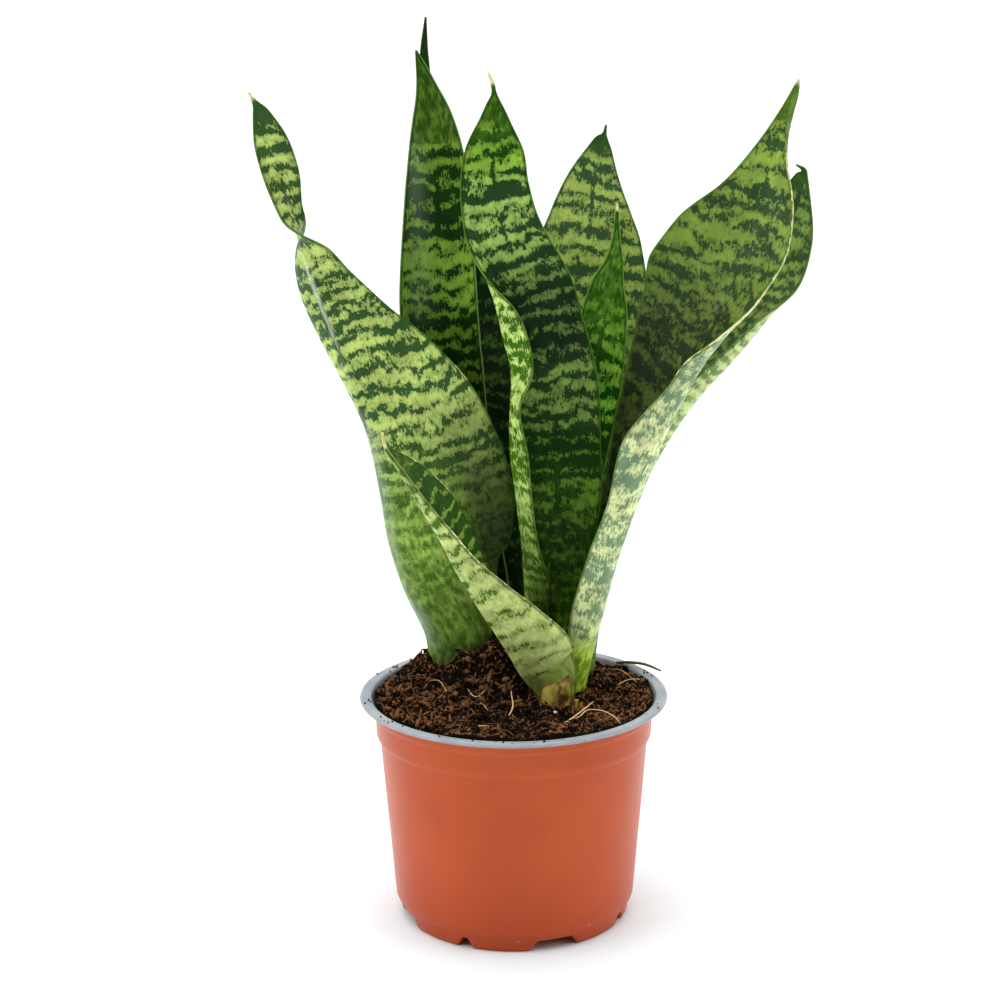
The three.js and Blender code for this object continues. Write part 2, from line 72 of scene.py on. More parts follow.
def bumps(x, y, seed):
    """Lattice heights blended with the weight 3t^2 - 2t^3, so that neighbouring cells join smoothly."""
    ix = np.floor(x)
    iy = np.floor(y)
    tx = x - ix
    ty = y - iy
    tx = tx * tx * (3 - 2 * tx)
    ty = ty * ty * (3 - 2 * ty)
    near = lattice_height(ix, iy, seed) * (1 - tx) + lattice_height(ix + 1, iy, seed) * tx
    far = lattice_height(ix, iy + 1, seed) * (1 - tx) + lattice_height(ix + 1, iy + 1, seed) * tx
    return near * (1 - ty) + far * ty


def rough_bumps(x, y, seed, octaves=3):
    """Bumps with finer bumps on them: each octave is half as wide and half as high as the last."""
    total = sum(bumps(x * 2**k, y * 2**k, seed + k) / 2**k for k in range(octaves))
    return total / sum(1 / 2**k for k in range(octaves))


print("a bump sample:", round(float(rough_bumps(np.array(0.3), np.array(0.7), 1)), 3))

# %% [markdown]
# ## From a grid of points to a mesh
#
# Leaves, pot, soil bed and fibres are all arrays of rings. They could be built face by face, but one helper
# for all of them joins each ring to the next with quads, closes each ring on itself, caps both ends with a
# fan to a pole, and carries along numbers that the shaders read.


# %% Grid to mesh
def ring_faces(rows, count):
    """Quads between neighbouring rings of `count` points, wound so that a ring seen from its outside
    runs from left to right going up."""
    row, k = np.meshgrid(np.arange(rows - 1), np.arange(count), indexing="ij")
    a = row * count + k
    b = row * count + (k + 1) % count
    return np.stack([a, b, b + count, a + count], axis=-1).reshape(-1, 4)


def make_mesh(name, vertices, quads, triangles=(), numbers=None):
    """A mesh object from arrays: vertices in metres, faces as index rows, numbers as one float each."""
    triangles = np.asarray(triangles, int).reshape(-1, 3)
    quads = np.asarray(quads, int).reshape(-1, 4)
    mesh = bpy.data.meshes.new(name)
    mesh.vertices.add(len(vertices))
    mesh.vertices.foreach_set("co", np.asarray(vertices, np.float32).ravel())
    corners = np.concatenate([quads.ravel(), triangles.ravel()])
    sizes = np.concatenate([np.full(len(quads), 4), np.full(len(triangles), 3)])
    mesh.loops.add(len(corners))
    mesh.loops.foreach_set("vertex_index", corners.astype(np.int32))
    mesh.polygons.add(len(sizes))
    mesh.polygons.foreach_set("loop_start", (np.cumsum(sizes) - sizes).astype(np.int32))
    mesh.polygons.foreach_set("use_smooth", np.ones(len(sizes), bool))
    mesh.update(calc_edges=True)
    for key, values in (numbers or {}).items():
        layer = mesh.attributes.new(key, "FLOAT", "POINT")
        layer.data.foreach_set("value", np.asarray(values, np.float32).ravel())
    mesh.validate()
    made = bpy.data.objects.new(name, mesh)
    bpy.context.scene.collection.objects.link(made)
    return made


def make_tube(name, rings, numbers=None):
    """A closed skin over rings [rows, count, 3], with a pole in the middle of the first and last ring."""
    rows, count = rings.shape[:2]
    poles = np.stack([rings[0].mean(0), rings[-1].mean(0)])
    first, last = rows * count, rows * count + 1
    k = np.arange(count)
    after = (k + 1) % count
    top = (rows - 1) * count
    low_fan = np.stack([np.full(count, first), after, k], axis=-1)
    high_fan = np.stack([np.full(count, last), top + k, top + after], axis=-1)
    vertices = np.concatenate([rings.reshape(-1, 3), poles])
    values = {}
    for key, value in (numbers or {}).items():
        ends = [value[0].mean(), value[-1].mean()]
        values[key] = np.concatenate([value.ravel(), ends])
    triangles = np.concatenate([low_fan, high_fan])
    return make_mesh(name, vertices, ring_faces(rows, count), triangles, values)


print("two rings of four points are joined by", len(ring_faces(2, 4)), "quads")

# %% [markdown]
# ## Shader building blocks
#
# Shaders are trees of small nodes. These helpers add one node each and accept either a number or the
# output of another node, so a formula reads almost like arithmetic.


# %% Arithmetic nodes
def wire(tree, socket, value):
    """Sets a socket to a number or colour, or links another node's output to it."""
    if isinstance(value, bpy.types.NodeSocket):
        tree.links.new(value, socket)
    elif value is not None:
        socket.default_value = value


def calc(tree, operation, a, b=None):
    """One arithmetic step on numbers."""
    made = tree.nodes.new("ShaderNodeMath")
    made.operation = operation
    wire(tree, made.inputs[0], a)
    wire(tree, made.inputs[1], b)
    return made.outputs[0]


def times(tree, *values):
    """The product of two or more numbers."""
    total = values[0]
    for value in values[1:]:
        total = calc(tree, "MULTIPLY", total, value)
    return total


def add_up(tree, *values):
    """The sum of two or more numbers."""
    total = values[0]
    for value in values[1:]:
        total = calc(tree, "ADD", total, value)
    return total


def step_between(tree, value, low, high, out_low=0.0, out_high=1.0):
    """Rises smoothly from out_low to out_high while the value passes from low to high."""
    made = tree.nodes.new("ShaderNodeMapRange")
    made.interpolation_type = "SMOOTHSTEP"
    names = ("Value", "From Min", "From Max", "To Min", "To Max")
    for key, number in zip(names, (value, low, high, out_low, out_high)):
        wire(tree, made.inputs[key], number)
    return made.outputs["Result"]


print("arithmetic helpers are ready")


# %% Colour and pattern nodes
def blend_colours(tree, factor, a, b, mode="MIX"):
    """Colour a where the factor is 0, and b where it is 1."""
    made = tree.nodes.new("ShaderNodeMix")
    made.data_type = "RGBA"
    made.blend_type = mode
    wire(tree, made.inputs["Factor"], factor)
    wire(tree, made.inputs[6], a)
    wire(tree, made.inputs[7], b)
    return made.outputs[2]


def join_xyz(tree, x, y, z):
    """Three numbers as one vector."""
    made = tree.nodes.new("ShaderNodeCombineXYZ")
    for k, value in enumerate((x, y, z)):
        wire(tree, made.inputs[k], value)
    return made.outputs[0]


def cloud(tree, vector, scale, detail=2.0, roughness=0.5):
    """Noise around 0.5 with features 1 / scale metres wide."""
    made = tree.nodes.new("ShaderNodeTexNoise")
    wire(tree, made.inputs["Vector"], vector)
    wire(tree, made.inputs["Scale"], scale)
    wire(tree, made.inputs["Detail"], detail)
    wire(tree, made.inputs["Roughness"], roughness)
    return made.outputs["Fac"]


def object_place(tree):
    """Where a point lies in the object's own metres, for patterns that fill space."""
    return tree.nodes.new("ShaderNodeTexCoord").outputs["Object"]


def read_number(tree, name):
    """A number that the mesh carries at each point."""
    made = tree.nodes.new("ShaderNodeAttribute")
    made.attribute_name = name
    return made.outputs["Fac"]


print("pattern helpers are ready")


# %% Groups and materials
def new_group(name, inputs, outputs):
    """An empty shader group with named inputs (kind, default) and named outputs (kind)."""
    tree = bpy.data.node_groups.new(name, "ShaderNodeTree")
    for key, (kind, default) in inputs.items():
        socket = tree.interface.new_socket(key, in_out="INPUT", socket_type="NodeSocket" + kind)
        socket.default_value = default
    for key, kind in outputs.items():
        tree.interface.new_socket(key, in_out="OUTPUT", socket_type="NodeSocket" + kind)
    start = tree.nodes.new("NodeGroupInput")
    end = tree.nodes.new("NodeGroupOutput")
    return tree, start.outputs, end.inputs


def place_group(material, group, **values):
    """The group as a node in a material, with its own values."""
    made = material.node_tree.nodes.new("ShaderNodeGroup")
    made.node_tree = group
    for key, value in values.items():
        wire(material.node_tree, made.inputs[key.replace("_", " ")], value)
    return made.outputs


def new_material(name):
    """A material with a Principled BSDF, and its tree and shader."""
    material = bpy.data.materials.new(name)
    material.use_nodes = True
    return material, material.node_tree, material.node_tree.nodes["Principled BSDF"]


def set_finish(tree, shader, colour, roughness, gloss):
    """Wires or sets what every finish here has: its colour, its roughness and how much it mirrors."""
    wire(tree, shader.inputs["Base Color"], colour)
    wire(tree, shader.inputs["Roughness"], roughness)
    wire(tree, shader.inputs["Specular IOR Level"], gloss)


def add_bump(tree, shader, height, strength, distance):
    """Lets a height pattern tilt the surface's normals."""
    made = tree.nodes.new("ShaderNodeBump")
    made.inputs["Strength"].default_value = strength
    made.inputs["Distance"].default_value = distance
    tree.links.new(height, made.inputs["Height"])
    tree.links.new(made.outputs["Normal"], shader.inputs["Normal"])


def srgb(red, green, blue):
    """A colour as a screen shows it, 0 to 255, turned into the light values that shaders use."""
    share = np.array([red, green, blue]) / 255
    linear = np.where(share <= 0.04045, share / 12.92, ((share + 0.055) / 1.055) ** 2.4)
    return (*linear, 1.0)


print("terracotta in light values:", np.round(srgb(200, 96, 66), 3))

# %% [markdown]
# ## The leaves' shape
#
# A snake plant's leaf is a thick, stiff strap that folds along its middle, curls at its margins and
# twists as it rises. It could be sculpted, or a flat strip could be bent by modifiers, but nine leaves
# that each curl in their own way are easier to steer by numbers. Each leaf is drawn by stations along its
# fold line. A smooth curve joins them, and at every height the blade turns steadily away from the fold,
# which is the angle's integral sideways and inwards. Each station holds, in millimetres from the pot's
# axis and in degrees: x, y, z, reach left, reach right, facing (0 is towards the viewer), fold, curl left,
# curl right.

# %% Leaf stations
LEAVES = {
    "leaf_left": [
        (-21, 26, 66.5, 8, 8, 170, 10, 50, 60),
        (-28, 24.5, 88, 13, 9, 160, 15, 45, 70),
        (-32, 24, 105, 28, 12, 150, 25, 25, 70),
        (-42, 22, 124, 43, 14, 140, 35, 20, 70),
        (-48, 19.5, 144, 50, 15, 138, 40, 20, 70),
        (-51, 17, 165, 51, 16, 138, 42, 20, 70),
        (-55, 14.5, 188, 46, 16, 140, 38, 20, 70),
        (-61.5, 12, 210, 36.5, 15, 150, 28, 15, 60),
        (-68.5, 9.5, 230, 24, 14, 160, 25, 8, 50),
        (-74, 7.5, 246, 16, 12, 160, 25, 5, 30),
        (-77.5, 6, 259, 11, 10, 140, 20, 5, 20),
        (-79.8, 5.2, 268, 8, 8, 90, 10, 0, 20),
        (-82.5, 4.5, 276, 6, 6, 45, 5, 10, 10),
        (-85.5, 3, 289, 6.5, 7.5, 20, 5, 15, 15),
        (-88.5, 2, 301, 6.3, 6.8, 15, 5, 20, 20),
        (-91.3, 1, 311, 3.4, 3.6, 10, 5, 20, 20),
        (-93.4, 0.5, 315.5, 1.1, 1.2, 10, 0, 0, 0),
        (-96, 0, 320, 0.3, 0.3, 10, 0, 0, 0),
    ],
    "leaf_tall_left": [
        (-3, 37, 66.5, 6, 6, 0, 5, 50, 50),
        (-4, 37, 90, 7, 7, 0, 5, 60, 60),
        (-9, 37.5, 115, 10, 10, 0, 5, 60, 60),
        (-17, 38, 150, 13, 13, 0, 5, 60, 60),
        (-23, 38, 190, 15.5, 15.5, 0, 5, 55, 55),
        (-28, 38.5, 230, 17.5, 17.5, 0, 5, 50, 50),
        (-28.5, 39, 265, 15.5, 15.5, 0, 5, 50, 50),
        (-28.5, 39.5, 290, 12.5, 12.5, 0, 5, 45, 45),
        (-29.5, 40, 308, 9, 8, 0, 5, 40, 40),
        (-32, 40, 321, 4.5, 3.5, 0, 5, 40, 40),
        (-36, 40, 333.3, 0.4, 0.4, 0, 0, 0, 0),
    ],
    "leaf_tall_back": [
        (-4, 44.5, 66.5, 6, 6, 0, 5, 40, 40),
        (-4, 47, 90, 7, 7, 0, 5, 40, 40),
        (-5, 49.5, 130, 10, 12, 0, 5, 40, 40),
        (-8, 51.5, 180, 12, 13.5, 0, 5, 40, 40),
        (-12, 53, 225, 13, 13, 0, 5, 40, 40),
        (-18, 54.5, 260, 11, 11, 0, 5, 40, 40),
        (-26, 56, 290, 6.5, 6.5, 0, 5, 40, 40),
        (-32, 58, 312, 3.5, 3, 0, 5, 40, 40),
        (-33.6, 60, 330, 2, 1.8, 0, 5, 30, 30),
        (-33, 61, 345.7, 0.4, 0.4, 0, 0, 0, 0),
    ],
    "leaf_centre": [
        (12, 22, 66.5, 6, 6, 0, 10, 30, 50),
        (13.5, 21, 90, 14, 8, 0, 8, 150, 60),
        (16.5, 19, 108, 21, 9, 0, 5, 188, 60),
        (17.5, 17.5, 125, 24.5, 11, 0, 0, 182, 60),
        (17.8, 16.5, 143, 25.5, 14.6, 0, 0, 135, 50),
        (17.5, 15.5, 163, 28.5, 17.7, 0, 0, 123, 45),
        (17, 15, 183, 32, 18, 0, 0, 123, 40),
        (16.5, 14.5, 203, 30, 17.5, 0, 0, 108, 35),
        (14.5, 14, 217, 27.5, 17, 0, 0, 140, 30),
        (11, 13.5, 230, 27, 17, 0, 0, 148, 30),
        (6.5, 13, 243, 24, 18, 0, 0, 132, 30),
        (0.5, 12.5, 256, 19, 17, 0, 0, 85, 30),
        (-3.6, 12, 270, 15.5, 14.5, 0, 5, 30, 25),
        (-6, 11.5, 284, 13.5, 13, 0, 5, 20, 20),
        (-6.5, 11, 297, 11, 11.5, 0, 5, 15, 15),
        (-6.2, 10.5, 308.5, 5.5, 6, 0, 5, 15, 15),
        (-6.1, 10.3, 313.5, 3.2, 3.4, 0, 5, 15, 15),
        (-6, 10.2, 317.8, 1.1, 1.1, 0, 5, 15, 15),
        (-6.6, 10.1, 321.5, 0.8, 0.8, 0, 5, 15, 15),
        (-8, 10, 325.5, 0.4, 0.4, 0, 0, 0, 0),
    ],
    "leaf_back_right": [
        (13, 43, 66.5, 6, 6, 0, 5, 40, 40),
        (14, 45.5, 90, 7, 7, 0, 5, 40, 40),
        (17, 46.5, 115, 10, 10, 0, 5, 40, 40),
        (21.5, 47.5, 150, 14, 14, 0, 5, 35, 35),
        (27, 49.5, 190, 19, 20, 0, 5, 25, 25),
        (30.5, 52, 230, 24, 24, 0, 5, 20, 20),
        (31, 53, 255, 21.5, 21.5, 0, 5, 15, 15),
        (31.5, 54, 270, 16, 16.5, 0, 5, 10, 10),
        (33, 54.6, 283, 11, 10.5, 0, 5, 10, 10),
        (35.5, 55.3, 295, 5, 4.5, 0, 5, 5, 5),
        (36.6, 55.6, 299, 2.8, 1.8, 0, 5, 5, 5),
        (37, 55.7, 300.6, 1, 0.9, 0, 5, 5, 5),
        (37.6, 56, 304, 0.4, 0.4, 0, 0, 0, 0),
    ],
    "leaf_young": [
        (19.5, 33, 66.5, 5, 5, 0, 5, 60, 60),
        (20.5, 33, 100, 6.5, 6.5, 0, 5, 60, 60),
        (23.5, 34, 130, 8, 8, 0, 5, 60, 60),
        (28, 35, 170, 9.5, 9.5, 0, 5, 50, 50),
        (33, 36, 205, 11, 11, 0, 5, 40, 40),
        (36, 36.5, 230, 10, 10, 0, 5, 40, 40),
        (37.5, 36.7, 243, 7.3, 7.3, 0, 5, 40, 40),
        (40, 37, 252, 4, 4, 0, 5, 30, 30),
        (41, 37.3, 262, 1.6, 1.6, 0, 5, 20, 20),
        (41.2, 37.5, 275, 0.4, 0.4, 0, 0, 0, 0),
    ],
    "leaf_right": [
        (25, 14, 66.5, 6, 7, -80, 10, 60, 60),
        (28, 14, 88, 7, 12, -80, 10, 60, 100),
        (31.2, 13, 104, 8, 18.5, -80, 10, 60, 110),
        (35, 11.5, 120, 10, 22, -80, 10, 60, 115),
        (40, 10, 140, 13, 21, -80, 10, 65, 115),
        (46.5, 9, 160, 17, 20, -80, 10, 70, 115),
        (51.7, 8.3, 174, 21, 24, -80, 10, 75, 120),
        (56.5, 8, 187, 25, 26, -80, 10, 75, 115),
        (61, 7.5, 197, 28, 21, -80, 10, 75, 110),
        (65.5, 7.2, 207, 30, 17, -75, 10, 65, 100),
        (71.5, 7, 219, 33, 19, -70, 10, 60, 85),
        (77, 6.5, 231, 34, 18, -58, 8, 45, 60),
        (83, 6, 246, 36, 18, -45, 5, 30, 30),
        (88, 6, 262, 30, 20, -40, 5, 20, 15),
        (93.5, 5.5, 279, 17.5, 15, -35, 5, 15, 15),
        (98, 5, 296, 8.5, 6.5, -30, 5, 15, 60),
        (102, 5, 310, 3.5, 4.2, -30, 5, 15, 130),
        (105.7, 5, 322.5, 0.4, 0.4, -30, 0, 0, 0),
    ],
    "leaf_right_back": [
        (31, 30, 66.5, 6, 6, -75, 10, 60, 60),
        (32, 31, 90, 7, 7, -80, 10, 60, 80),
        (36.5, 33, 120, 9, 8, -85, 10, 70, 100),
        (44.5, 35, 147, 11, 11, -85, 10, 70, 100),
        (54, 35, 168, 15, 15, -85, 10, 70, 100),
        (63.5, 35, 186, 19, 18, -80, 10, 60, 95),
        (74, 35, 202, 23, 20, -75, 10, 50, 90),
        (85.5, 35, 217, 25, 19, -65, 10, 40, 90),
        (95, 35, 231, 23, 18, -55, 10, 30, 80),
        (102, 35, 246, 20, 17.5, -45, 5, 20, 40),
        (107, 35, 261, 15, 13.5, -40, 5, 15, 20),
        (111, 35, 275, 9, 6, -30, 5, 15, 10),
        (112.8, 35, 284.5, 4, 2, -30, 5, 15, 10),
        (112.9, 35, 287.6, 1.4, 0.8, -30, 0, 0, 0),
        (109.8, 35, 289.4, 0.3, 0.3, -30, 0, 0, 0),
    ],
    "leaf_short_front": [
        (14, 3, 66.5, 7, 7, 150, 10, 50, 50),
        (8.5, 1, 88, 18, 10, 140, 20, 60, 60),
        (4, -2.5, 96, 23, 12, 138, 30, 50, 60),
        (-1, -7, 106, 23, 14, 132, 38, 40, 40),
        (-6.5, -12, 117, 19, 16, 128, 45, 30, 30),
        (-13.5, -17.5, 130, 14, 17, 125, 50, 20, 20),
        (-20.5, -23, 144, 9, 17, 122, 55, 15, 10),
        (-26.5, -29, 158, 5.5, 16, 120, 60, 10, 5),
        (-32.5, -34.5, 170, 3.5, 13.5, 115, 65, 10, 0),
        (-39.5, -40.5, 184, 2, 8.5, 110, 65, 5, 0),
        (-43, -43, 191, 1.2, 4.5, 110, 60, 5, 0),
        (-45.5, -45, 196.6, 0.6, 0.6, 110, 30, 0, 0),
        (-46.3, -45, 201.5, 0.25, 0.25, 110, 30, 0, 0),
    ],
}
CURL_LATENESS = 1.5
LATE_CURLS = {"leaf_left": 2.0, "leaf_centre": 2.5}  # the curl keeps nearer to the margins
HEMS = {"leaf_centre": (0.4, 0.7)}  # the left side rolls over between these shares of its width
print(len(LEAVES), "leaves, the tallest", max(stations[-1][2] for stations in LEAVES.values()), "mm")

# %% [markdown]
# ## The leaves' markings
#
# The pale and dark bands are not the same all the way up. For each leaf, short lists say by height (mm):
#
# - `light`: how pale the skin is (1), dark (0) or undecided (0.5), and `outer`, how much paler outside
# - `lush`: where its greens are deep and saturated instead of greyish
# - `plain`: where it has fine flecks instead of bands
# - `waxy`: where the outer face has the whitish greens of its own
# - `painted_shading`: a painted shade and light, how bright the greens are painted on the inner face, and
#   `outer_painted_shading` on the outer one
# - `ridge_glint`: where a painted highlight runs pale along the fold, and `withered`: where the tip is dry
# - `shade`: a painted shade on one side (-1 left, 1 right), setting in between two distances from the fold
# - `painted_sheen`: a painted sheen, a pale strip by the distance of its middle from the fold and its width

# %% Markings by height
MARKINGS = {
    "leaf_left": {
        "light": [(70, 0.3), (95, 0.35), (110, 0.5), (150, 0.62), (175, 0.6), (195, 0.64), (220, 0.6),
                  (240, 0.5), (262, 0.55), (270, 0.6), (300, 0.55), (306, 0.4), (309, 0.1), (320, 0.1)],
        "lush": [(90, 1), (140, 0.9), (165, 0.5), (190, 0.1), (320, 0.1)],
        "plain": [(88, 0.9), (110, 0.85), (150, 0.6), (172, 0.15), (190, 0), (320, 0)],
        "outer": 0.0,
        "outer_painted_shading": [(80, 0.7), (92, 0.82), (104, 1.04), (125, 1.18), (262, 1.05)],
        "ridge_glint": [(190, 0), (215, 0.3), (232, 0.7), (262, 0.9), (268, 0.5), (285, 0)],
        "withered": [(316, 0), (317.5, 0.9), (320, 1)],
        "shade": (-1, 12, 38, [(85, 0.45), (105, 0.22), (140, 0.14), (165, 0.3), (188, 0.8), (200, 1)]),
        "painted_sheen": (0.8, 2.6, [(95, 0.05), (115, 0.5), (150, 0.55), (185, 0.5), (200, 0)]),
    },
    "leaf_tall_left": {
        "light": [(90, 0.25), (150, 0.35), (180, 0.3), (200, 0.42), (232, 0.4), (236, 0.76), (257, 0.8),
                  (262, 0.36), (275, 0.3), (286, 0.35), (290, 0.66), (297, 0.58), (300, 0.3),
                  (333, 0.25)],
        "lush": [(90, 1), (200, 0.9), (300, 1), (333, 1)],
        "plain": [(120, 0.4), (170, 0.2), (200, 0), (296, 0), (300, 0.85), (333, 1)],
        "outer": 0.2,
        "painted_shading": [(150, 0.45), (200, 0.55), (230, 0.85), (245, 1.0), (262, 0.85), (290, 0.95), (300, 1.15),
                 (333, 1.2)],
        "painted_sheen": (-9, 5, [(225, 0), (240, 0.1), (290, 0.12), (305, 0)]),
    },
    "leaf_tall_back": {
        "light": [(90, 0.3), (180, 0.32), (225, 0.38), (290, 0.4), (312, 0.3)],
        "lush": [(90, 0.7), (200, 0.4), (290, 0.3), (345, 0.8)],
        "plain": [(300, 0), (312, 1)],
        "outer": 0.25,
    },
    "leaf_centre": {
        "light": [(100, 0.42), (120, 0.38), (140, 0.34), (155, 0.3), (158, 0.58), (169, 0.6), (172, 0.32),
                  (189, 0.27), (192, 0.54), (213, 0.58), (216, 0.34), (226, 0.26), (242, 0.32),
                  (244, 0.5), (251.5, 0.6), (252.5, 0.22), (256, 0.22), (257, 0.68), (265, 0.74),
                  (266, 0.46), (272, 0.46), (273.5, 0.72), (278, 0.78), (279, 0.15), (285, 0.15),
                  (286, 0.66), (288, 0.7), (289.5, 0.3), (291, 0.7), (295, 0.7), (297, 0.45), (300, 0.3),
                  (323, 0.2)],
        "lush": [(100, 1), (186, 1), (193, 0.4), (215, 0.2), (270, 0.15), (284, 0.2), (292, 0.9),
                 (323, 0.9)],
        "plain": [(100, 0.8), (130, 0.55), (155, 0.25), (180, 0.1), (297, 0), (309, 0.7), (323, 1)],
        "outer": 0.14,
        "waxy": [(95, 0), (118, 0.1), (132, 0.9), (245, 1)],
        "painted_shading": [(100, 1), (125, 0.85), (150, 0.72), (172, 0.72), (183, 0.6), (192, 0.74), (213, 0.72),
                 (222, 0.42), (243, 0.5), (256, 0.92), (265, 1.04), (300, 1.08), (323, 1.15)],
        "outer_painted_shading": [(95, 0.75), (130, 0.75), (155, 0.85), (175, 1.05), (250, 1.05)],
        "withered": [(320.8, 0), (322, 0.9), (325, 0.9)],
    },
    "leaf_back_right": {
        "light": [(150, 0.3), (200, 0.44), (235, 0.56), (256, 0.64), (274, 0.6), (277, 0.7), (283, 0.68),
                  (284, 0.5), (292, 0.48), (296, 0.1), (303, 0.1)],
        "lush": [(100, 0.9), (200, 0.4), (240, 0.1), (303, 0.15)],
        "plain": [(290, 0), (296, 0.8), (303, 1)],
        "outer": 0.2,
    },
    "leaf_young": {
        "light": [(100, 0.4), (160, 0.42), (210, 0.55), (225, 0.5), (240, 0.4), (272, 0.3)],
        "lush": [(100, 1), (272, 1)],
        "plain": [(150, 0), (215, 0.05), (240, 0.7), (255, 1)],
        "outer": 0.1,
        "withered": [(271.5, 0), (272.5, 0.9), (275, 1)],
    },
    "leaf_right": {
        "light": [(88, 0.7), (106, 0.6), (122, 0.7), (129, 0.66), (132, 0.3), (138, 0.3), (140, 0.7),
                  (145, 0.68), (148, 0.28), (154, 0.32), (157, 0.74), (164, 0.74), (168, 0.38),
                  (180, 0.4), (184, 0.68), (194, 0.6), (205, 0.4), (225, 0.48), (235, 0.54), (245, 0.6),
                  (262, 0.68), (276, 0.64), (280, 0.46), (283, 0.42), (285, 0.78), (297, 0.8),
                  (298.5, 0.3), (300, 0.25), (303, 0.6), (306, 0.5), (308, 0.15), (322, 0.1)],
        "lush": [(88, 1), (100, 0.9), (118, 0.2), (200, 0.15), (322, 0.2)],
        "plain": [(88, 0.85), (102, 0.7), (114, 0.1), (305, 0), (312, 0.8)],
        "outer": 0.06,
        "waxy": [(88, 0), (102, 0.1), (116, 0.7), (135, 0.9), (200, 0.95), (322, 0.9)],
        "painted_shading": [(190, 0.3), (206, 0.38), (220, 0.5), (235, 0.6), (250, 0.78), (270, 0.9), (290, 1.05),
                 (300, 1.2)],
        "outer_painted_shading": [(88, 1.5), (105, 1.4), (120, 1.05), (180, 1.05), (200, 0.85), (240, 0.85)],
        "withered": [(320, 0), (321.5, 0.6)],
    },
    "leaf_right_back": {
        "light": [(88, 0.4), (150, 0.5), (200, 0.52), (235, 0.56), (262, 0.6), (276, 0.55), (284, 0.2)],
        "lush": [(88, 0.9), (150, 0.3), (240, 0.3), (288, 0.8)],
        "plain": [(88, 0.7), (120, 0.2), (278, 0), (284, 0.6)],
        "outer": 0.12,
        "waxy": [(88, 0.2), (130, 0.7), (150, 1), (230, 0.9), (260, 0.4)],
    },
    "leaf_short_front": {
        "light": [(84, 0.6), (92, 0.5), (110, 0.42), (148, 0.38), (158, 0.3), (196, 0.26)],
        "lush": [(88, 1), (98, 0.6), (115, 0.4), (140, 0.9), (196, 0.8)],
        "plain": [(86, 0.9), (90, 0.5), (97, 0.1), (180, 0.1), (192, 0.8)],
        "outer": 0.42,
        "waxy": [(84, 0.2), (90, 0.5), (98, 0.9), (196, 1)],
        "outer_painted_shading": [(84, 1.0), (92, 1.1), (105, 1.08), (196, 1)],
        "withered": [(195.5, 0), (196.5, 0.9), (201, 1)],
    },
}
DRY_MARGINS = {  # which side (-1 left, 1 right), and how dry its margin is by height
    "leaf_left": [(-1, [(196, 0), (198, 0.9), (201, 1.0), (204, 0)])],
    "leaf_right": [
        (1, [(210, 0), (213, 0.5), (221, 0.6), (225, 0.3), (229, 1), (242, 0.8), (246, 1), (250, 0.5),
             (285, 0.4), (298, 0.5), (302, 0)]),
    ],
    "leaf_short_front": [
        (1, [(164, 0), (167, 0.8), (176, 0.8), (179, 0.1), (183, 0.1), (185, 0.8), (190, 0.6), (192, 0)]),
        (-1, [(100, 0), (104, 0.35), (128, 0.4), (140, 0.35), (150, 0.5), (153, 0.9), (160, 0.8), (163, 0)]),
    ],
}
print("markings for", ", ".join(MARKINGS))

# %% [markdown]
# ## Leaf surface
#
# The blade's middle surface comes first. A Solidify modifier would make it equally thick all over, so half
# of the leaf's thickness is added to each side by a formula instead, fading to a rounded edge at the
# margins. The margins also get the slight waves of a grown leaf.

# %% Leaf sizes
LEAF_ROWS = 300
LEAF_COLUMNS = 40
TURN_STEPS = 80
MARGIN_THICKNESS = 0.9
FOOT_THICKNESS = 4.0
BLADE_THICKNESS = 2.2
TIP_THICKNESS = 1.2
FOOT_SHARE = 0.25
NARROWEST = 0.4
MARGIN_WAVE = 0.35
MARGIN_WAVE_LENGTH = 13.0
CALM_WIDTH = 8.0  # waves fade where a side is narrower than this
WAVE_ROWS = (0.5, 7.5)  # the lattice rows that the left and the right margin's waves are read from
CURVE_SAMPLES = 801
print("each leaf is a grid of", LEAF_ROWS, "by", LEAF_COLUMNS, "on either face")


# %% Leaf curve
def smooth_stations(stations, places):
    """Catmull-Rom: between stations b and c, with neighbours a and d, the curve is
    (2b + (c - a)t + (2a - 5b + 4c - d)t^2 + (3b - a - 3c + d)t^3) / 2."""
    ends = np.vstack([2 * stations[0] - stations[1], stations, 2 * stations[-1] - stations[-2]])
    i = np.minimum(places.astype(int), len(stations) - 2)
    t = (places - i)[:, None]
    a, b, c, d = ends[i], ends[i + 1], ends[i + 2], ends[i + 3]
    bent = (2 * a - 5 * b + 4 * c - d) * t**2 + (3 * b - a - 3 * c + d) * t**3
    return 0.5 * (2 * b + (c - a) * t + bent)


def even_stations(stations, rows):
    """The same curve, sampled at equal steps of length along the fold line, and its length."""
    places = np.linspace(0, len(stations) - 1, CURVE_SAMPLES)
    line = smooth_stations(stations, places)[:, :3]
    steps = np.linalg.norm(np.diff(line, axis=0), axis=1)
    length = np.concatenate([[0], np.cumsum(steps)])
    even = np.interp(np.linspace(0, length[-1], rows + 1), length, places)
    return smooth_stations(stations, even), length[-1]


def turned_side(width, fold, curl, lateness, hem, share):
    """How far a side has gone sideways and inwards at each share v of its width: the integrals of
    cos(angle) and sin(angle), where angle(t) = fold + curl * t ** lateness, or for a hem from a to b
    angle(t) = fold + curl * (3s^2 - 2s^3) with s = (t - a) / (b - a) kept between 0 and 1."""
    t = (np.arange(TURN_STEPS) + 0.5) / TURN_STEPS
    done = t**lateness
    if hem:
        s = np.clip((t - hem[0]) / (hem[1] - hem[0]), 0, 1)
        done = s * s * (3 - 2 * s)
    angle = fold[:, None] + curl[:, None] * done
    at = share * TURN_STEPS
    low = np.minimum(at.astype(int), TURN_STEPS - 1)
    part = at - low
    gone = []
    for slope in (np.cos(angle), np.sin(angle)):
        total = np.concatenate([np.zeros((len(width), 1)), np.cumsum(slope, axis=1)], axis=1) / TURN_STEPS
        gone.append(width[:, None] * (total[:, low] * (1 - part) + total[:, low + 1] * part))
    return gone


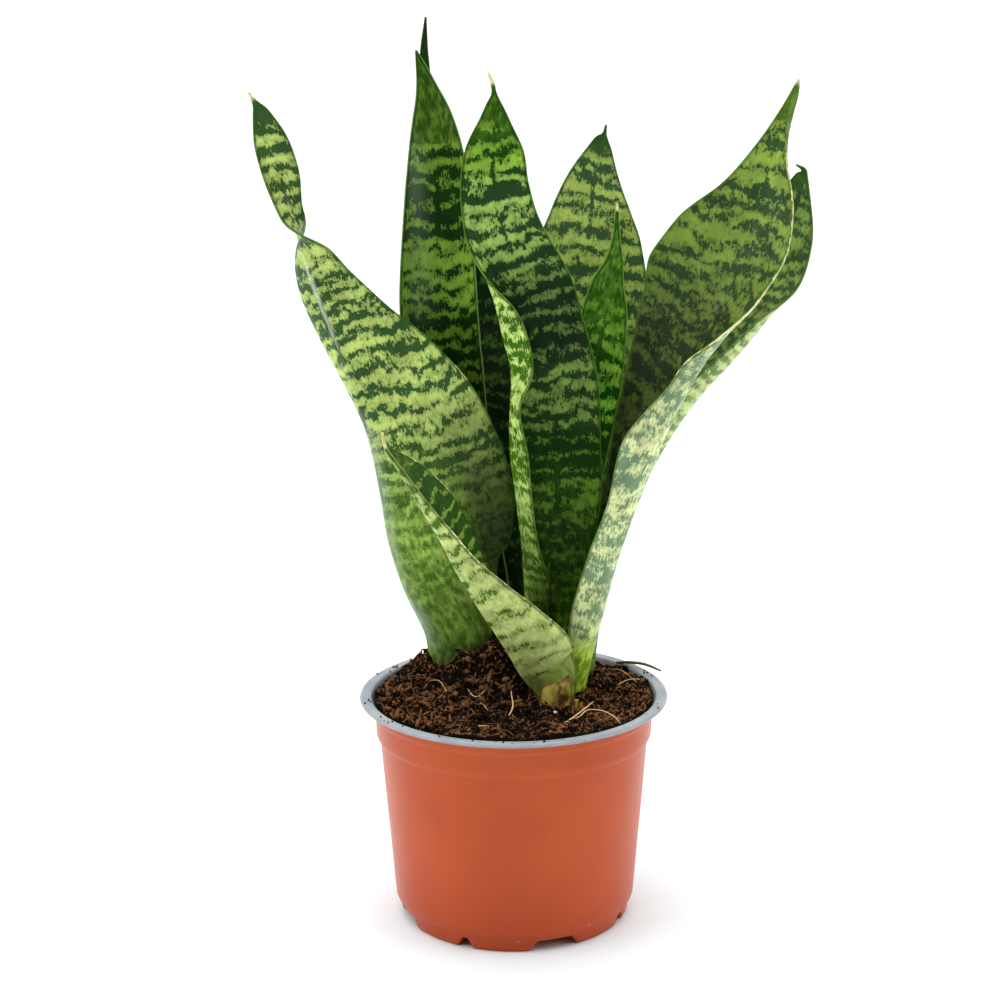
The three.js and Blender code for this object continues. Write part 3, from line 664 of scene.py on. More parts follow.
def unit(vectors):
    """Vectors of length 1 in the same directions."""
    return vectors / np.maximum(np.linalg.norm(vectors, axis=-1, keepdims=True), 1e-9)


test_line = np.array([(0, 0, 0), (0, 0, 5), (0, 0, 9)], float)
print("a straight test line is", even_stations(test_line, 4)[1], "mm long")


# %% Leaf blade
def leaf_blade(stations, seed, lateness=CURL_LATENESS, hem=None):
    """The middle surface [rows + 1, columns + 1, 3], and what the skin and the markings need of it."""
    even, length = even_stations(np.array(stations, float), LEAF_ROWS)
    share = np.linspace(0, 1, LEAF_ROWS + 1)
    v = np.sin(np.pi / 2 * np.linspace(-1, 1, LEAF_COLUMNS + 1))
    line = even[:, :3]
    along = unit(np.gradient(line, axis=0))
    facing = np.radians(even[:, 5])
    inner = np.stack([np.sin(facing), -np.cos(facing), np.zeros_like(facing)], axis=-1)
    inner = unit(inner - np.sum(inner * along, axis=-1, keepdims=True) * along)
    across = np.cross(along, inner)
    fold = np.radians(even[:, 6])
    left = np.maximum(even[:, 3], NARROWEST)
    right = np.maximum(even[:, 4], NARROWEST)
    side_l, in_l = turned_side(left, fold, np.radians(even[:, 7]), lateness, hem, np.abs(v))
    side_r, in_r = turned_side(right, fold, np.radians(even[:, 8]), lateness, None, np.abs(v))
    is_left = v < 0
    sideways = np.where(is_left, -side_l, side_r)
    inwards = np.where(is_left, in_l, in_r)
    blade = line[:, None] + sideways[..., None] * across[:, None] + inwards[..., None] * inner[:, None]
    width = np.where(is_left, left[:, None], right[:, None])
    lattice_row = np.where(is_left, *WAVE_ROWS)[None] + 0 * width
    wave = bumps(share[:, None] * length / MARGIN_WAVE_LENGTH, lattice_row, seed)
    normal = unit(np.cross(np.gradient(blade, axis=0), np.gradient(blade, axis=1)))
    waved = MARGIN_WAVE * (2 * wave - 1) * np.abs(v) ** 4 * np.clip(width / CALM_WIDTH, 0, 1)
    blade = blade + waved[..., None] * normal
    return blade, normal, width, v, share, length, line[:, 2]


print("the left leaf's fold line is", round(leaf_blade(LEAVES["leaf_left"], 0)[5]), "mm long")


# %% Leaf skin
def all_round(outer, inner):
    """Two faces as one ring: the outer one from left to right, and the inner one back again."""
    return np.concatenate([outer, inner[:, -2:0:-1]], axis=1)


def leaf_skin(name, seed):
    """Both faces and the rounded margins as rings round the blade, in metres, with the leaf's flat
    coordinates: how far across and along it each point lies, how far from the rim, and on which face."""
    lateness = LATE_CURLS.get(name, CURL_LATENESS)
    blade, normal, width, v, share, length, height = leaf_blade(LEAVES[name], seed, lateness, HEMS.get(name))
    foot = FOOT_THICKNESS * np.clip(1 - share / FOOT_SHARE, 0, 1) ** 2
    middle = np.maximum(BLADE_THICKNESS + (TIP_THICKNESS - BLADE_THICKNESS) * share**2, foot)
    half = (MARGIN_THICKNESS + (middle[:, None] - MARGIN_THICKNESS) * (1 - v**2)) / 2
    rim = (1 - np.abs(v)) * width
    rounded = np.clip(1 - rim / (MARGIN_THICKNESS / 2), 0, 1)
    half = half * np.sqrt(1 - rounded**2)
    thick = half[..., None] * normal
    rings = all_round(blade + thick, blade - thick)
    ones = np.ones_like(width)
    across = v * width
    along = share[:, None] * length * ones
    numbers = {
        "across": all_round(across, across) * MM,
        "along": all_round(along, along) * MM,
        "rim": all_round(rim, rim),
        "face": all_round(ones, 0 * ones),
    }
    height = height[:, None] * ones
    return rings * MM + POT_AXIS, numbers, all_round(height, height)


print("every leaf's skin carries", ", ".join(leaf_skin("leaf_young", 0)[1]))


# %% Marking numbers
def by_height(levels, height):
    """A level at each height, blended between the (height, level) pairs of a list."""
    levels = np.array(levels, float)
    return np.interp(height, levels[:, 0], levels[:, 1])


def side_shade(marks, across, height):
    """1 on most of a leaf, and a painted shade on one side that sets in smoothly between two distances from
    the fold.
    """
    sign, start, end, levels = marks.get("shade", (1, 0, 1, [(0, 1)]))
    ramp = np.clip((across / MM * sign - start) / (end - start), 0, 1)
    return 1 + (by_height(levels, height) - 1) * ramp * ramp * (3 - 2 * ramp)


def painted_sheen_strip(marks, across, height):
    """A painted sheen: a pale strip along the leaf, level * exp(-(distance from its middle / its width)^2).
    """
    middle, width, levels = marks.get("painted_sheen", (0, 1, [(0, 0)]))
    return by_height(levels, height) * np.exp(-(((across / MM - middle) / width) ** 2))


def leaf_piece(name, seed):
    """The finished mesh of one leaf, with its markings as numbers at each point."""
    rings, numbers, height = leaf_skin(name, seed)
    marks = MARKINGS[name]
    across, face = numbers["across"], numbers["face"]
    for key in ("light", "lush", "plain", "waxy", "ridge_glint", "withered"):
        numbers[key] = by_height(marks.get(key, [(0, 0)]), height)
    numbers["light"] = numbers["light"] + marks["outer"] * face
    numbers["waxy"] = numbers["waxy"] * face
    # Painted shade and light: the greens are painted brighter or darker by height on each face, and darker on
    # one side
    inner_painted_shading = by_height(marks.get("painted_shading", [(0, 1)]), height)
    outer_painted_shading = by_height(marks.get("outer_painted_shading", [(0, 1)]), height)
    numbers["painted_shading"] = (inner_painted_shading + (outer_painted_shading - inner_painted_shading) * face) * side_shade(marks, across, height)
    # A painted sheen strip
    numbers["painted_sheen"] = painted_sheen_strip(marks, across, height)
    numbers["dry"] = 0 * height
    for side, levels in DRY_MARGINS.get(name, []):
        numbers["dry"] = numbers["dry"] + (across * side > 0) * by_height(levels, height)
    return make_tube(name + "_skin", rings, numbers)


print("a list that goes from 0 to 1 in 100 mm says", by_height([(0, 0), (100, 1)], 50), "half way")

# %% Growing the leaves
leaf_pieces = {}
for seed, name in enumerate(LEAVES):
    leaf_pieces[name] = leaf_piece(name, seed)
    print(name, "has", len(leaf_pieces[name].data.polygons), "faces")

# %% [markdown]
# ## Leaf markings as a shader group
#
# The bands run across the leaf, and their edges are frayed along its veins. An image could hold them, but
# a pattern on the leaf's own flat coordinates stays sharp and has no seam. Lines at even spacing are bent
# by slow noise and rounded off, and noises of four sizes are then added: broad patches, blotches, flecks,
# and fine teeth drawn out along the leaf. A smooth step turns the sum into two clear tones.

# %% Band noises
BAND_NOISES = {  # features per metre across and along, a shift apart from the rest, detail, roughness
    "bow": (26, 18, 1.7, 1.0, 0.5),
    "zigzag": (150, 90, 3.1, 3.0, 0.6),
    "broad patches": (75, 130, 6.2, 2.0, 0.5),
    "blotches": (400, 430, 8.8, 3.0, 0.65),
    "flecks": (1100, 700, 7.4, 2.0, 0.5),
    "teeth": (2100, 420, 4.9, 2.0, 0.6),
    "vein bend": (20, 60, 2.9, 2.0, 0.5),
    "vein gaps": (40, 45, 5.9, 1.0, 0.5),
    "streaks": (520, 210, 5.5, 4.0, 0.62),
    "glow": (130, 90, 2.2, 4.0, 0.6),
    "painted_sheen": (60, 25, 1.1, 2.0, 0.5),
    "glint_gaps": (1100, 90, 3.3, 3.0, 0.5),
    "ragged rim": (500, 300, 8.1, 1.0, 0.5),
    "torn margin": (500, 420, 9.1, 2.0, 0.5),
    "straw": (700, 500, 9.7, 2.0, 0.5),
    "wax": (120, 60, 6.1, 3.0, 0.5),
    "veins": (1500, 45, 9.4, 2.0, 0.5),
    "pores": (2600, 1900, 9.9, 1.0, 0.5),
}
FACE_SHIFT = 5.3  # gives the outer face bands of its own
print("noises in the bands:", len(BAND_NOISES))

# %% Band group
band_inputs = {
    "Light": ("Color", (0.3, 0.45, 0.1, 1)),
    "Dark": ("Color", (0.03, 0.08, 0.05, 1)),
    "Lush Light": ("Color", (0.15, 0.35, 0.03, 1)),
    "Lush Dark": ("Color", (0.01, 0.06, 0.005, 1)),
    "Margin": ("Color", (0.3, 0.35, 0.15, 1)),
    "Waxy Light": ("Color", (0.6, 0.7, 0.35, 1)),
    "Waxy Dark": ("Color", (0.15, 0.25, 0.1, 1)),
    "Seed": ("Float", 0.0),
    "Spacing": ("Float", 0.0072),
    "Fray": ("Float", 1.0),
}
SKIN_OUTPUTS = {"Color": "Color", "Roughness": "Float", "Height": "Float"}
bands, given, result = new_group("leaf bands", band_inputs, SKIN_OUTPUTS)
across = read_number(bands, "across")
along = read_number(bands, "along")
waxy = read_number(bands, "waxy")
layer = add_up(bands, times(bands, read_number(bands, "face"), FACE_SHIFT), given["Seed"])


def pattern(name):
    """One of the band noises, on the leaf's flat coordinates."""
    x_scale, y_scale, shift, detail, roughness = BAND_NOISES[name]
    x = times(bands, across, x_scale)
    y = times(bands, along, y_scale)
    vector = join_xyz(bands, x, y, add_up(bands, layer, shift))
    return cloud(bands, vector, 1.0, detail, roughness)


def swing(value, size):
    """A noise around 0.5 as a swing of the given size around 0."""
    return times(bands, calc(bands, "SUBTRACT", value, 0.5), size)


# Lines at even spacing, bent by slow noise and rounded off
bow = swing(pattern("bow"), 3.0)
zigzag = swing(pattern("zigzag"), 1.9)
steps = calc(bands, "DIVIDE", along, given["Spacing"])
from_line = calc(bands, "PINGPONG", add_up(bands, steps, bow, zigzag), 0.5)
lines = step_between(bands, from_line, 0.0, 0.5, 0.0, 0.66)

# Broad patches, blotches and flecks, and teeth that are longer on the waxy outer face
broad = swing(pattern("broad patches"), 1.7)
blotch = swing(pattern("blotches"), 1.9)
flecks = swing(pattern("flecks"), 1.0)
patches = times(bands, add_up(bands, broad, blotch, flecks), given["Fray"])
teeth = swing(pattern("teeth"), 1.3)
teeth = times(bands, teeth, step_between(bands, waxy, 0.0, 1.0, 1.0, 1.9), given["Fray"])

# A light leaf leans towards the pale tone, and a broken dark vein runs along the middle
lean = swing(read_number(bands, "light"), 1.1)
vein_bend = swing(pattern("vein bend"), 0.003)
vein_off = calc(bands, "ABSOLUTE", add_up(bands, across, vein_bend))
vein_gap = step_between(bands, pattern("vein gaps"), 0.5, 0.56)
vein = times(bands, step_between(bands, vein_off, 0.0003, 0.0014, 0.6, 0.0), vein_gap)
total = calc(bands, "SUBTRACT", add_up(bands, lines, patches, teeth, lean), vein)
clear = step_between(bands, total, 0.3, 0.38)
pale = times(bands, clear, step_between(bands, total, 0.34, 1.0, 0.5, 1.0))
print("the band group has", len(bands.nodes), "nodes so far")

# %% Band colours
# The two tones of the bands, and fine streaks where the leaf is plain
lush = read_number(bands, "lush")
light_tone = blend_colours(bands, lush, given["Light"], given["Lush Light"])
dark_tone = blend_colours(bands, lush, given["Dark"], given["Lush Dark"])
light_tone = blend_colours(bands, waxy, light_tone, given["Waxy Light"])
dark_tone = blend_colours(bands, waxy, dark_tone, given["Waxy Dark"])
banded = blend_colours(bands, pale, dark_tone, light_tone)
streak = step_between(bands, pattern("streaks"), 0.4, 0.64, 0.3, 1.5)
streak = times(bands, read_number(bands, "light"), streak)
plain_tone = blend_colours(bands, streak, given["Lush Dark"], given["Lush Light"])
skin = blend_colours(bands, read_number(bands, "plain"), banded, plain_tone)

# Uneven brightness with painted shade and light, a painted sheen, and a painted highlight on the fold's crest
glow = step_between(bands, pattern("glow"), 0.3, 0.7, 0.8, 1.16)
# Painted shade and light by height and on one side darken or brighten the greens
glow = times(bands, glow, read_number(bands, "painted_shading"))
skin = blend_colours(bands, 1.0, skin, join_xyz(bands, glow, glow, glow), "MULTIPLY")
uneven = step_between(bands, pattern("painted_sheen"), 0.3, 0.7, 0.6, 1.2)
painted_gleam = times(bands, read_number(bands, "painted_sheen"), uneven)
# The painted sheen: a pale grey-green strip laid over the skin
skin = blend_colours(bands, painted_gleam, skin, srgb(186, 200, 178))
crest_glint = step_between(bands, calc(bands, "ABSOLUTE", across), 0.0, 0.0014, 0.7, 0.0)
glint_breaks = step_between(bands, pattern("glint_gaps"), 0.38, 0.62, 0.1, 1.0)
crest_glint = times(bands, crest_glint, read_number(bands, "ridge_glint"), glint_breaks)
# A painted highlight along the crest of the fold, broken in places
skin = blend_colours(bands, crest_glint, skin, srgb(232, 236, 208))

# A dark line along the margin, its pale edge (a real pale margin on some leaves, a painted glint on
# others), and the straw colour of dry margins and tips
rim = read_number(bands, "rim")
ragged = add_up(bands, rim, swing(pattern("ragged rim"), 0.8))
skin = blend_colours(bands, step_between(bands, ragged, 0.5, 1.5, 0.7, 0.0), skin, given["Lush Dark"])
skin = blend_colours(bands, step_between(bands, rim, 0.05, 0.25, 0.6, 0.0), skin, given["Margin"])
torn = swing(pattern("torn margin"), 1.6)
dryness_here = read_number(bands, "dry")
from_edge = calc(bands, "SUBTRACT", add_up(bands, rim, torn), times(bands, dryness_here, 0.62))
dry = step_between(bands, from_edge, -0.35, -0.05, 1.0, 0.0)
dry = times(bands, dry, step_between(bands, dryness_here, 0.05, 0.2))
dry = calc(bands, "MAXIMUM", dry, read_number(bands, "withered"))
straw = step_between(bands, pattern("straw"), 0.35, 0.65)
straw = blend_colours(bands, straw, srgb(208, 190, 120), srgb(240, 238, 190))
wire(bands, result["Color"], blend_colours(bands, dry, skin, straw))

# Wax makes the shine uneven, and veins and pores give it relief
wax = pattern("wax")
wire(bands, result["Roughness"], step_between(bands, wax, 0.3, 0.7, 0.36, 0.5))
veins = pattern("veins")
pores = pattern("pores")
wire(bands, result["Height"], add_up(bands, veins, times(bands, pores, 0.4)))
print("the whole band group has", len(bands.nodes), "nodes")

# %% [markdown]
# ## One green for each leaf
#
# Old outer leaves are yellowish, inner ones greyer and young ones a deep fresh green. One green for all
# would look like plastic, so each leaf has a material of its own that places the shared group with its own
# colours, and its own share of waxy shine.

# %% Leaf colours
LEAF_GREENS = {  # light, dark, lush light, lush dark, margin, waxy light, waxy dark
    "leaf_left": ((186, 202, 110), (50, 80, 40), (160, 190, 84), (42, 82, 6), (96, 120, 50),
                  (200, 210, 140), (90, 120, 70)),
    "leaf_tall_left": ((144, 168, 84), (22, 52, 16), (124, 160, 50), (12, 50, 1), (130, 156, 90),
                       (170, 190, 120), (60, 90, 40)),
    "leaf_tall_back": ((96, 124, 60), (20, 42, 20), (56, 92, 20), (10, 36, 2), (90, 120, 60),
                       (150, 170, 110), (60, 80, 40)),
    "leaf_centre": ((158, 186, 96), (34, 60, 32), (128, 170, 50), (18, 62, 1), (100, 130, 50),
                    (200, 224, 124), (58, 98, 14)),
    "leaf_back_right": ((180, 200, 100), (58, 88, 52), (120, 156, 50), (30, 66, 14), (96, 124, 60),
                        (190, 204, 130), (80, 110, 60)),
    "leaf_young": ((120, 162, 50), (34, 80, 16), (140, 194, 66), (14, 66, 1), (120, 158, 70),
                   (150, 180, 90), (60, 100, 30)),
    "leaf_right": ((118, 144, 60), (32, 54, 34), (176, 202, 62), (66, 104, 14), (104, 126, 60),
                   (232, 236, 172), (120, 146, 112)),
    "leaf_right_back": ((150, 166, 84), (52, 80, 46), (110, 146, 44), (34, 72, 20), (110, 130, 70),
                        (218, 226, 156), (114, 142, 78)),
    "leaf_short_front": ((168, 186, 94), (44, 76, 26), (146, 178, 64), (24, 62, 4), (160, 168, 92),
                         (212, 222, 138), (76, 106, 34)),
}
GREEN_NAMES = ("Light", "Dark", "Lush_Light", "Lush_Dark", "Margin", "Waxy_Light", "Waxy_Dark")
COMMON_GLOSS = 0.14
DULL_LEAVES = {  # leaves that mirror less of the sky
    "leaf_centre": 0.05,
    "leaf_tall_left": 0.07,
    "leaf_young": 0.07,
    "leaf_left": 0.09,
    "leaf_short_front": 0.09,
}
COMMON_BANDS = (0.0072, 0.9)
BAND_SHAPES = {  # spacing in metres, and how frayed the bands are
    "leaf_short_front": (0.0080, 0.45),
    "leaf_centre": (0.0066, 1.0),
    "leaf_right_back": (0.006, 0.9),
    "leaf_right": (0.0084, 1.1),
}


def leaf_material(name, seed):
    """Waxy leaf skin with that leaf's greens."""
    material, tree, shader = new_material(name + "_green")
    colours = {key: srgb(*value) for key, value in zip(GREEN_NAMES, LEAF_GREENS[name])}
    spacing, fray = BAND_SHAPES.get(name, COMMON_BANDS)
    out = place_group(material, bands, Seed=3.7 * seed, Spacing=spacing, Fray=fray, **colours)
    set_finish(tree, shader, out["Color"], out["Roughness"], DULL_LEAVES.get(name, COMMON_GLOSS))
    add_bump(tree, shader, out["Height"], 0.25, 0.0003)
    return material


for seed, (name, piece) in enumerate(leaf_pieces.items()):
    piece.data.materials.append(leaf_material(name, seed))
    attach(piece, "root")
    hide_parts(name)
print("leaf materials:", len(leaf_pieces))

# %% [markdown]
# ## The pot
#
# A nursery pot is formed from a two-coloured sheet: terracotta outside, blue-grey inside and over the rim.
# A Screw modifier could turn its outline about the axis, but the foot ring is cut by wide and narrow gaps.
# Here the outline is turned by formula, from lists of radius and height in millimetres, so its lower end
# can be lifted wherever a gap passes.

# %% Pot outline
POT_TURNS = 288
RIM_TOP = 89.0
FOOT_LIFT = 4.2
WIDE_GAPS = [(20 + 90 * k, 8.0, 5.5) for k in range(4)]  # middle, half width and slope in degrees
NARROW_GAPS = [(65 + 90 * k, 0.8, 4.0) for k in range(4)]
FLOOR_BELOW = [(20, 4.4), (36.2, 4.4), (37.2, 4.2)]  # radius and height
FOOT_RING = [  # radius, height, and its share of a gap's lift
    (37.6, 3.6, 0.15), (37.8, 1.4, 0.7), (38.1, 0.5, 0.9), (38.9, 0.05, 1), (41.5, 0, 1), (43.8, 0, 1),
    (44.6, 0.25, 0.95), (45.0, 0.9, 0.8), (45.4, 3.4, 0.24),
]
WALL_OUTSIDE = [
    (45.8, 5.4), (46.0, 6.2), (46.4, 6.75), (46.95, 7.0), (47.2, 7.5), (47.6, 12), (49.0, 30),
    (50.5, 48), (51.8, 64), (52.1, 68.2), (52.3, 70.2), (52.4, 72.0), (52.55, 72.6), (53.1, 73.0),
    (53.6, 73.3), (53.8, 73.8), (53.9, 76), (54.15, 81.4), (54.2, 82.2), (54.35, 82.6), (54.9, 82.9),
    (55.1, 83.2), (55.2, 84.2), (55.3, 86.2), (55.7, 86.9),
]
COLOURS_MEET = (56.5, 87.15, 0, 0.2)  # below the rim
RIM_AND_LINING = [
    (58.4, 87.2), (59.3, 87.3), (59.8, 87.65), (60, 88.1), (59.8, 88.6), (59.3, 88.9), (58.7, 89.0),
    (58.2, 88.88), (57.7, 88.82), (56.6, 88.84), (56.0, 88.75), (55.5, 88.45), (55.2, 87.9),
    (54.6, 86.4), (53.8, 84.4), (53.1, 83.2), (52.5, 74), (51.1, 71), (45.9, 8.6), (44.4, 6.2),
    (42, 5.6), (20, 5.6),
]


def gap_lift(angle):
    """How open the foot is at each angle (0 at the front, in degrees): 1 inside a gap, with sloping ends."""
    lift = np.zeros_like(angle)
    for centre, half, slope in WIDE_GAPS + NARROW_GAPS:
        off = np.abs((angle - centre + 180) % 360 - 180)
        t = np.clip((half + slope - off) / slope, 0, 1)
        lift = np.maximum(lift, t * t * (3 - 2 * t))
    return lift


def turned(radius, height, turn):
    """Points at a radius, a height and an angle round the pot's axis, with 0 at the front."""
    return np.stack([radius * np.sin(turn), -radius * np.cos(turn), height + 0 * radius * turn], axis=-1)


outline = np.array(
    [(radius, height, 0, 0) for radius, height in FLOOR_BELOW]
    + [(radius, height, share, 0) for radius, height, share in FOOT_RING]
    + [(radius, height, 0, 0) for radius, height in WALL_OUTSIDE]
    + [COLOURS_MEET]
    + [(radius, height, 0, 1) for radius, height in RIM_AND_LINING],
    float,
)[:, :, None]
angle = np.linspace(0, 360, POT_TURNS, endpoint=False)
lifted = outline[:, 1] + FOOT_LIFT * outline[:, 2] * gap_lift(angle)
pot_rings = turned(outline[:, 0], lifted, np.radians(angle))
lining = outline[:, 3] * np.ones(POT_TURNS)
pot_piece = make_tube("pot_shell", pot_rings * MM + POT_AXIS, {"lining": lining})
print("the pot is", round(2 * outline[:, 0].max()), "mm across its rim and", RIM_TOP, "mm high")

# %% [markdown]
# ## Drainage holes
#
# The floor of such a pot is pierced. Holes are what a Boolean modifier does best: it takes a set of
# small rods out of the finished shell, and its result is then kept as the pot's mesh.

# %% Drilling the floor
HOLE_CIRCLE = 24.0
HOLE_RADIUS = 3.5
HOLE_COUNT = 6
DRILL_FROM = 3.0
DRILL_TO = 7.0
hole_turn = np.radians(np.arange(24) * 15.0)
ring = HOLE_RADIUS * np.stack([np.cos(hole_turn), np.sin(hole_turn), 0 * hole_turn], axis=-1)
drills = []
for k in range(HOLE_COUNT):
    bearing = 2 * k * math.pi / HOLE_COUNT
    centre = HOLE_CIRCLE * np.array([math.cos(bearing), math.sin(bearing), 0])
    rod = np.stack([ring + centre + np.array([0, 0, z]) for z in (DRILL_FROM, DRILL_TO)])
    drills.append(make_tube("drill", rod * MM + POT_AXIS))
for drill in drills:
    cut = pot_piece.modifiers.new("hole", "BOOLEAN")
    cut.operation = "DIFFERENCE"
    cut.object = drill
bpy.context.view_layer.update()
drilled = bpy.data.meshes.new_from_object(pot_piece.evaluated_get(bpy.context.evaluated_depsgraph_get()))
pot_piece.modifiers.clear()
pot_piece.data = drilled
for drill in drills:
    bpy.data.objects.remove(drill)
pot_piece.data.set_sharp_from_angle(angle=math.radians(40))
print("the drilled pot has", len(pot_piece.data.polygons), "faces")

# %% [markdown]
# ## Moulded plastic with soil on it
#
# The plastic is satin and faintly mottled, darker near the foot where a painted shade is laid into its
# colour, and has white scuffs where it has been set down. Fine soil has dusted the rim. Where the dust lies
# is a pattern of its own, so it is kept in a small group, apart from the plastic's colours.

# %% Dust group
dust, given, result = new_group(
    "soil dust",
    {"Amount": ("Float", 0.5), "Size": ("Float", 450.0)},
    {"Mask": "Float"},
)
place = object_place(dust)
speck = cloud(dust, place, given["Size"], 2.0, 0.6)
patch = cloud(dust, place, 45.0, 2.0)
level = calc(dust, "SUBTRACT", 0.84, times(dust, given["Amount"], times(dust, patch, 0.5)))
wire(dust, result["Mask"], step_between(dust, speck, level, add_up(dust, level, 0.03)))
print("the dust group has", len(dust.nodes), "nodes")

# %% Pot material
pot_material, tree, shader = new_material("nursery_pot_plastic")
place = object_place(tree)
split = tree.nodes.new("ShaderNodeSeparateXYZ")
tree.links.new(place, split.inputs[0])
above = split.outputs["Z"]

# Terracotta, mottled, with a painted shade that darkens it near the foot, and scuffed at its very edge
mottle = cloud(tree, place, 22.0, 3.0)
clay = blend_colours(tree, step_between(tree, mottle, 0.3, 0.7), srgb(181, 70, 22), srgb(191, 80, 31))
# Painted shade: the colour is darker towards the foot
clay = blend_colours(tree, step_between(tree, above, 0.0, 0.05, 0.5, 0.0), clay, srgb(174, 60, 17))
scuff = step_between(tree, cloud(tree, place, 330.0, 2.0), 0.72, 0.76)
scuff = times(tree, scuff, step_between(tree, above, 0.006, 0.011, 1.0, 0.0))
clay = blend_colours(tree, scuff, clay, srgb(232, 190, 170))

# The grey lining, and dust on top of the rim
cloudy = step_between(tree, cloud(tree, place, 60.0, 2.0), 0.35, 0.7)
grey = blend_colours(tree, cloudy, srgb(132, 140, 146), srgb(156, 163, 168))
lined = step_between(tree, read_number(tree, "lining"), 0.35, 0.65)
plastic = blend_colours(tree, lined, clay, grey)
rim_dust = place_group(pot_material, dust, Amount=0.45, Size=520.0)["Mask"]
soiled = times(tree, rim_dust, step_between(tree, above, 0.0872, 0.0882))
plastic = blend_colours(tree, soiled, plastic, srgb(52, 36, 26))
set_finish(tree, shader, plastic, step_between(tree, mottle, 0.3, 0.7, 0.3, 0.38), 0.25)
add_bump(tree, shader, cloud(tree, place, 900.0, 2.0), 0.08, 0.0003)
pot_piece.data.materials.clear()
pot_piece.data.materials.append(pot_material)
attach(pot_piece, "root")
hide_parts("pot")
print("the pot's plastic has", len(tree.nodes), "nodes")

# %% [markdown]
# ## The soil
#
# The pot is filled with a fibrous peat mix. It is one solid: flat below, following the pot's wall, with
# a lumpy top that is heaped against the left-hand shoots. Its height is a function of the place, rather
# than a sculpted surface, so that loose crumbs and fibres can be laid exactly on it.

# %% Soil surface
SOIL_LEVEL = 86.6
SOIL_MOUNDS = [  # x, y, height and spread of each heap
    (-5, 14, 19, 9.5),
    (-34, 31, 8, 5),
    (-21, 17, 7, 6),
    (20, -4, -2, 9),
    (-30, -18, 1.2, 9),
    (12, -36, 1.2, 10),
]
SOIL_RADIUS = 54.3
EDGE_RISE = 1.3
EDGE_START = 38
EDGE_WIDTH = 14
CLOD_WIDTH = 7.5
CLOD_HEIGHT = 6.0
GRIT_WIDTH = 1.9
GRIT_HEIGHT = 2.6
SOIL_TURNS = 360
SOIL_RINGS = 170
SOIL_SIDE = [(44, 6.2), (45.3, 8.6), (50.5, 71), (51.9, 74), (52.5, 83.2), (53.2, 84.6), (53.9, 86.0)]


def soil_base(x, y):
    """The soil's smooth height: its level, a raised edge, and heaps of h * exp(-d^2 / 2r^2)."""
    edge = np.clip((np.hypot(x, y) - EDGE_START) / EDGE_WIDTH, 0, 1)
    height = SOIL_LEVEL + EDGE_RISE * edge * edge * (3 - 2 * edge)
    for cx, cy, heap, spread in SOIL_MOUNDS:
        height = height + heap * np.exp(-((x - cx) ** 2 + (y - cy) ** 2) / (2 * spread**2))
    return height


def clods(x, y):
    """The soil's clods: from 0 in the cavities between them to 1 on top of them."""
    return rough_bumps(x / CLOD_WIDTH + 40, y / CLOD_WIDTH + 40, 11)


def soil_height(x, y):
    """The soil's height with its clods and with finer bumps."""
    grit = rough_bumps(x / GRIT_WIDTH + 90, y / GRIT_WIDTH + 90, 23)
    return soil_base(x, y) + CLOD_HEIGHT * (clods(x, y) - 0.5) + GRIT_HEIGHT * (grit - 0.5)


soil_turn = np.linspace(0, 2 * np.pi, SOIL_TURNS, endpoint=False)
top_radius = SOIL_RADIUS * np.linspace(1, 0, SOIL_RINGS + 1)[:-1]
soil_top = turned(top_radius[:, None], 0, soil_turn)
soil_top[..., 2] = soil_height(soil_top[..., 0], soil_top[..., 1])
side = np.array(SOIL_SIDE, float)
soil_side = turned(side[:, :1], side[:, 1:], soil_turn)
soil_piece = make_tube("soil_bed", np.concatenate([soil_side, soil_top]) * MM + POT_AXIS)
print("soil bed faces:", len(soil_piece.data.polygons))

# %% [markdown]
# ## Crumbs
#
# Thousands of crumbs make loose soil look loose. A particle system would repeat a few of them. One
# twelve-cornered lump that is stretched, turned and dented differently each time is placed by arrays
# instead, and all crumbs together are a single mesh. Crumbs on top of clods are paler, those in the cavities
# between them carry a painted shade, and those behind the shoots and at the sides a painted light.

# %% Crumb makers
draw = np.random.default_rng(7)
golden = (1 + 5**0.5) / 2
LUMP = unit(np.array([
    (-1, golden, 0), (1, golden, 0), (-1, -golden, 0), (1, -golden, 0), (0, -1, golden), (0, 1, golden),
    (0, -1, -golden), (0, 1, -golden), (golden, 0, -1), (golden, 0, 1), (-golden, 0, -1), (-golden, 0, 1),
], float))
LUMP_FACES = np.array([
    (0, 11, 5), (0, 5, 1), (0, 1, 7), (0, 7, 10), (0, 10, 11), (1, 5, 9), (5, 11, 4), (11, 10, 2),
    (10, 7, 6), (7, 1, 8), (3, 9, 4), (3, 4, 2), (3, 2, 6), (3, 6, 8), (3, 8, 9), (4, 9, 5),
    (2, 4, 11), (6, 2, 10), (8, 6, 7), (9, 8, 1),
])


def random_turns(count):
    """Rotation matrices [count, 3, 3] from random unit quaternions (w, x, y, z)."""
    w, x, y, z = unit(draw.normal(size=(count, 4))).T
    return np.stack([
        np.stack([1 - 2 * (y * y + z * z), 2 * (x * y - w * z), 2 * (x * z + w * y)], axis=-1),
        np.stack([2 * (x * y + w * z), 1 - 2 * (x * x + z * z), 2 * (y * z - w * x)], axis=-1),
        np.stack([2 * (x * z - w * y), 2 * (y * z + w * x), 1 - 2 * (x * x + y * y)], axis=-1),
    ], axis=1)


# Painted light: beyond these limits the crumbs are painted paler, over the width below
PALE_BEYOND = (20, -12)  # distance sideways, and y
PALING_WIDTH = 18


def painted_paleness(x, y):
    """Painted light: how much paler the crumbs are painted, 1 behind the shoots and at both sides, and 0 at
    the front.
    """
    past = np.maximum(y - PALE_BEYOND[1], np.abs(x) - PALE_BEYOND[0])
    return np.clip(past / PALING_WIDTH, 0, 1)


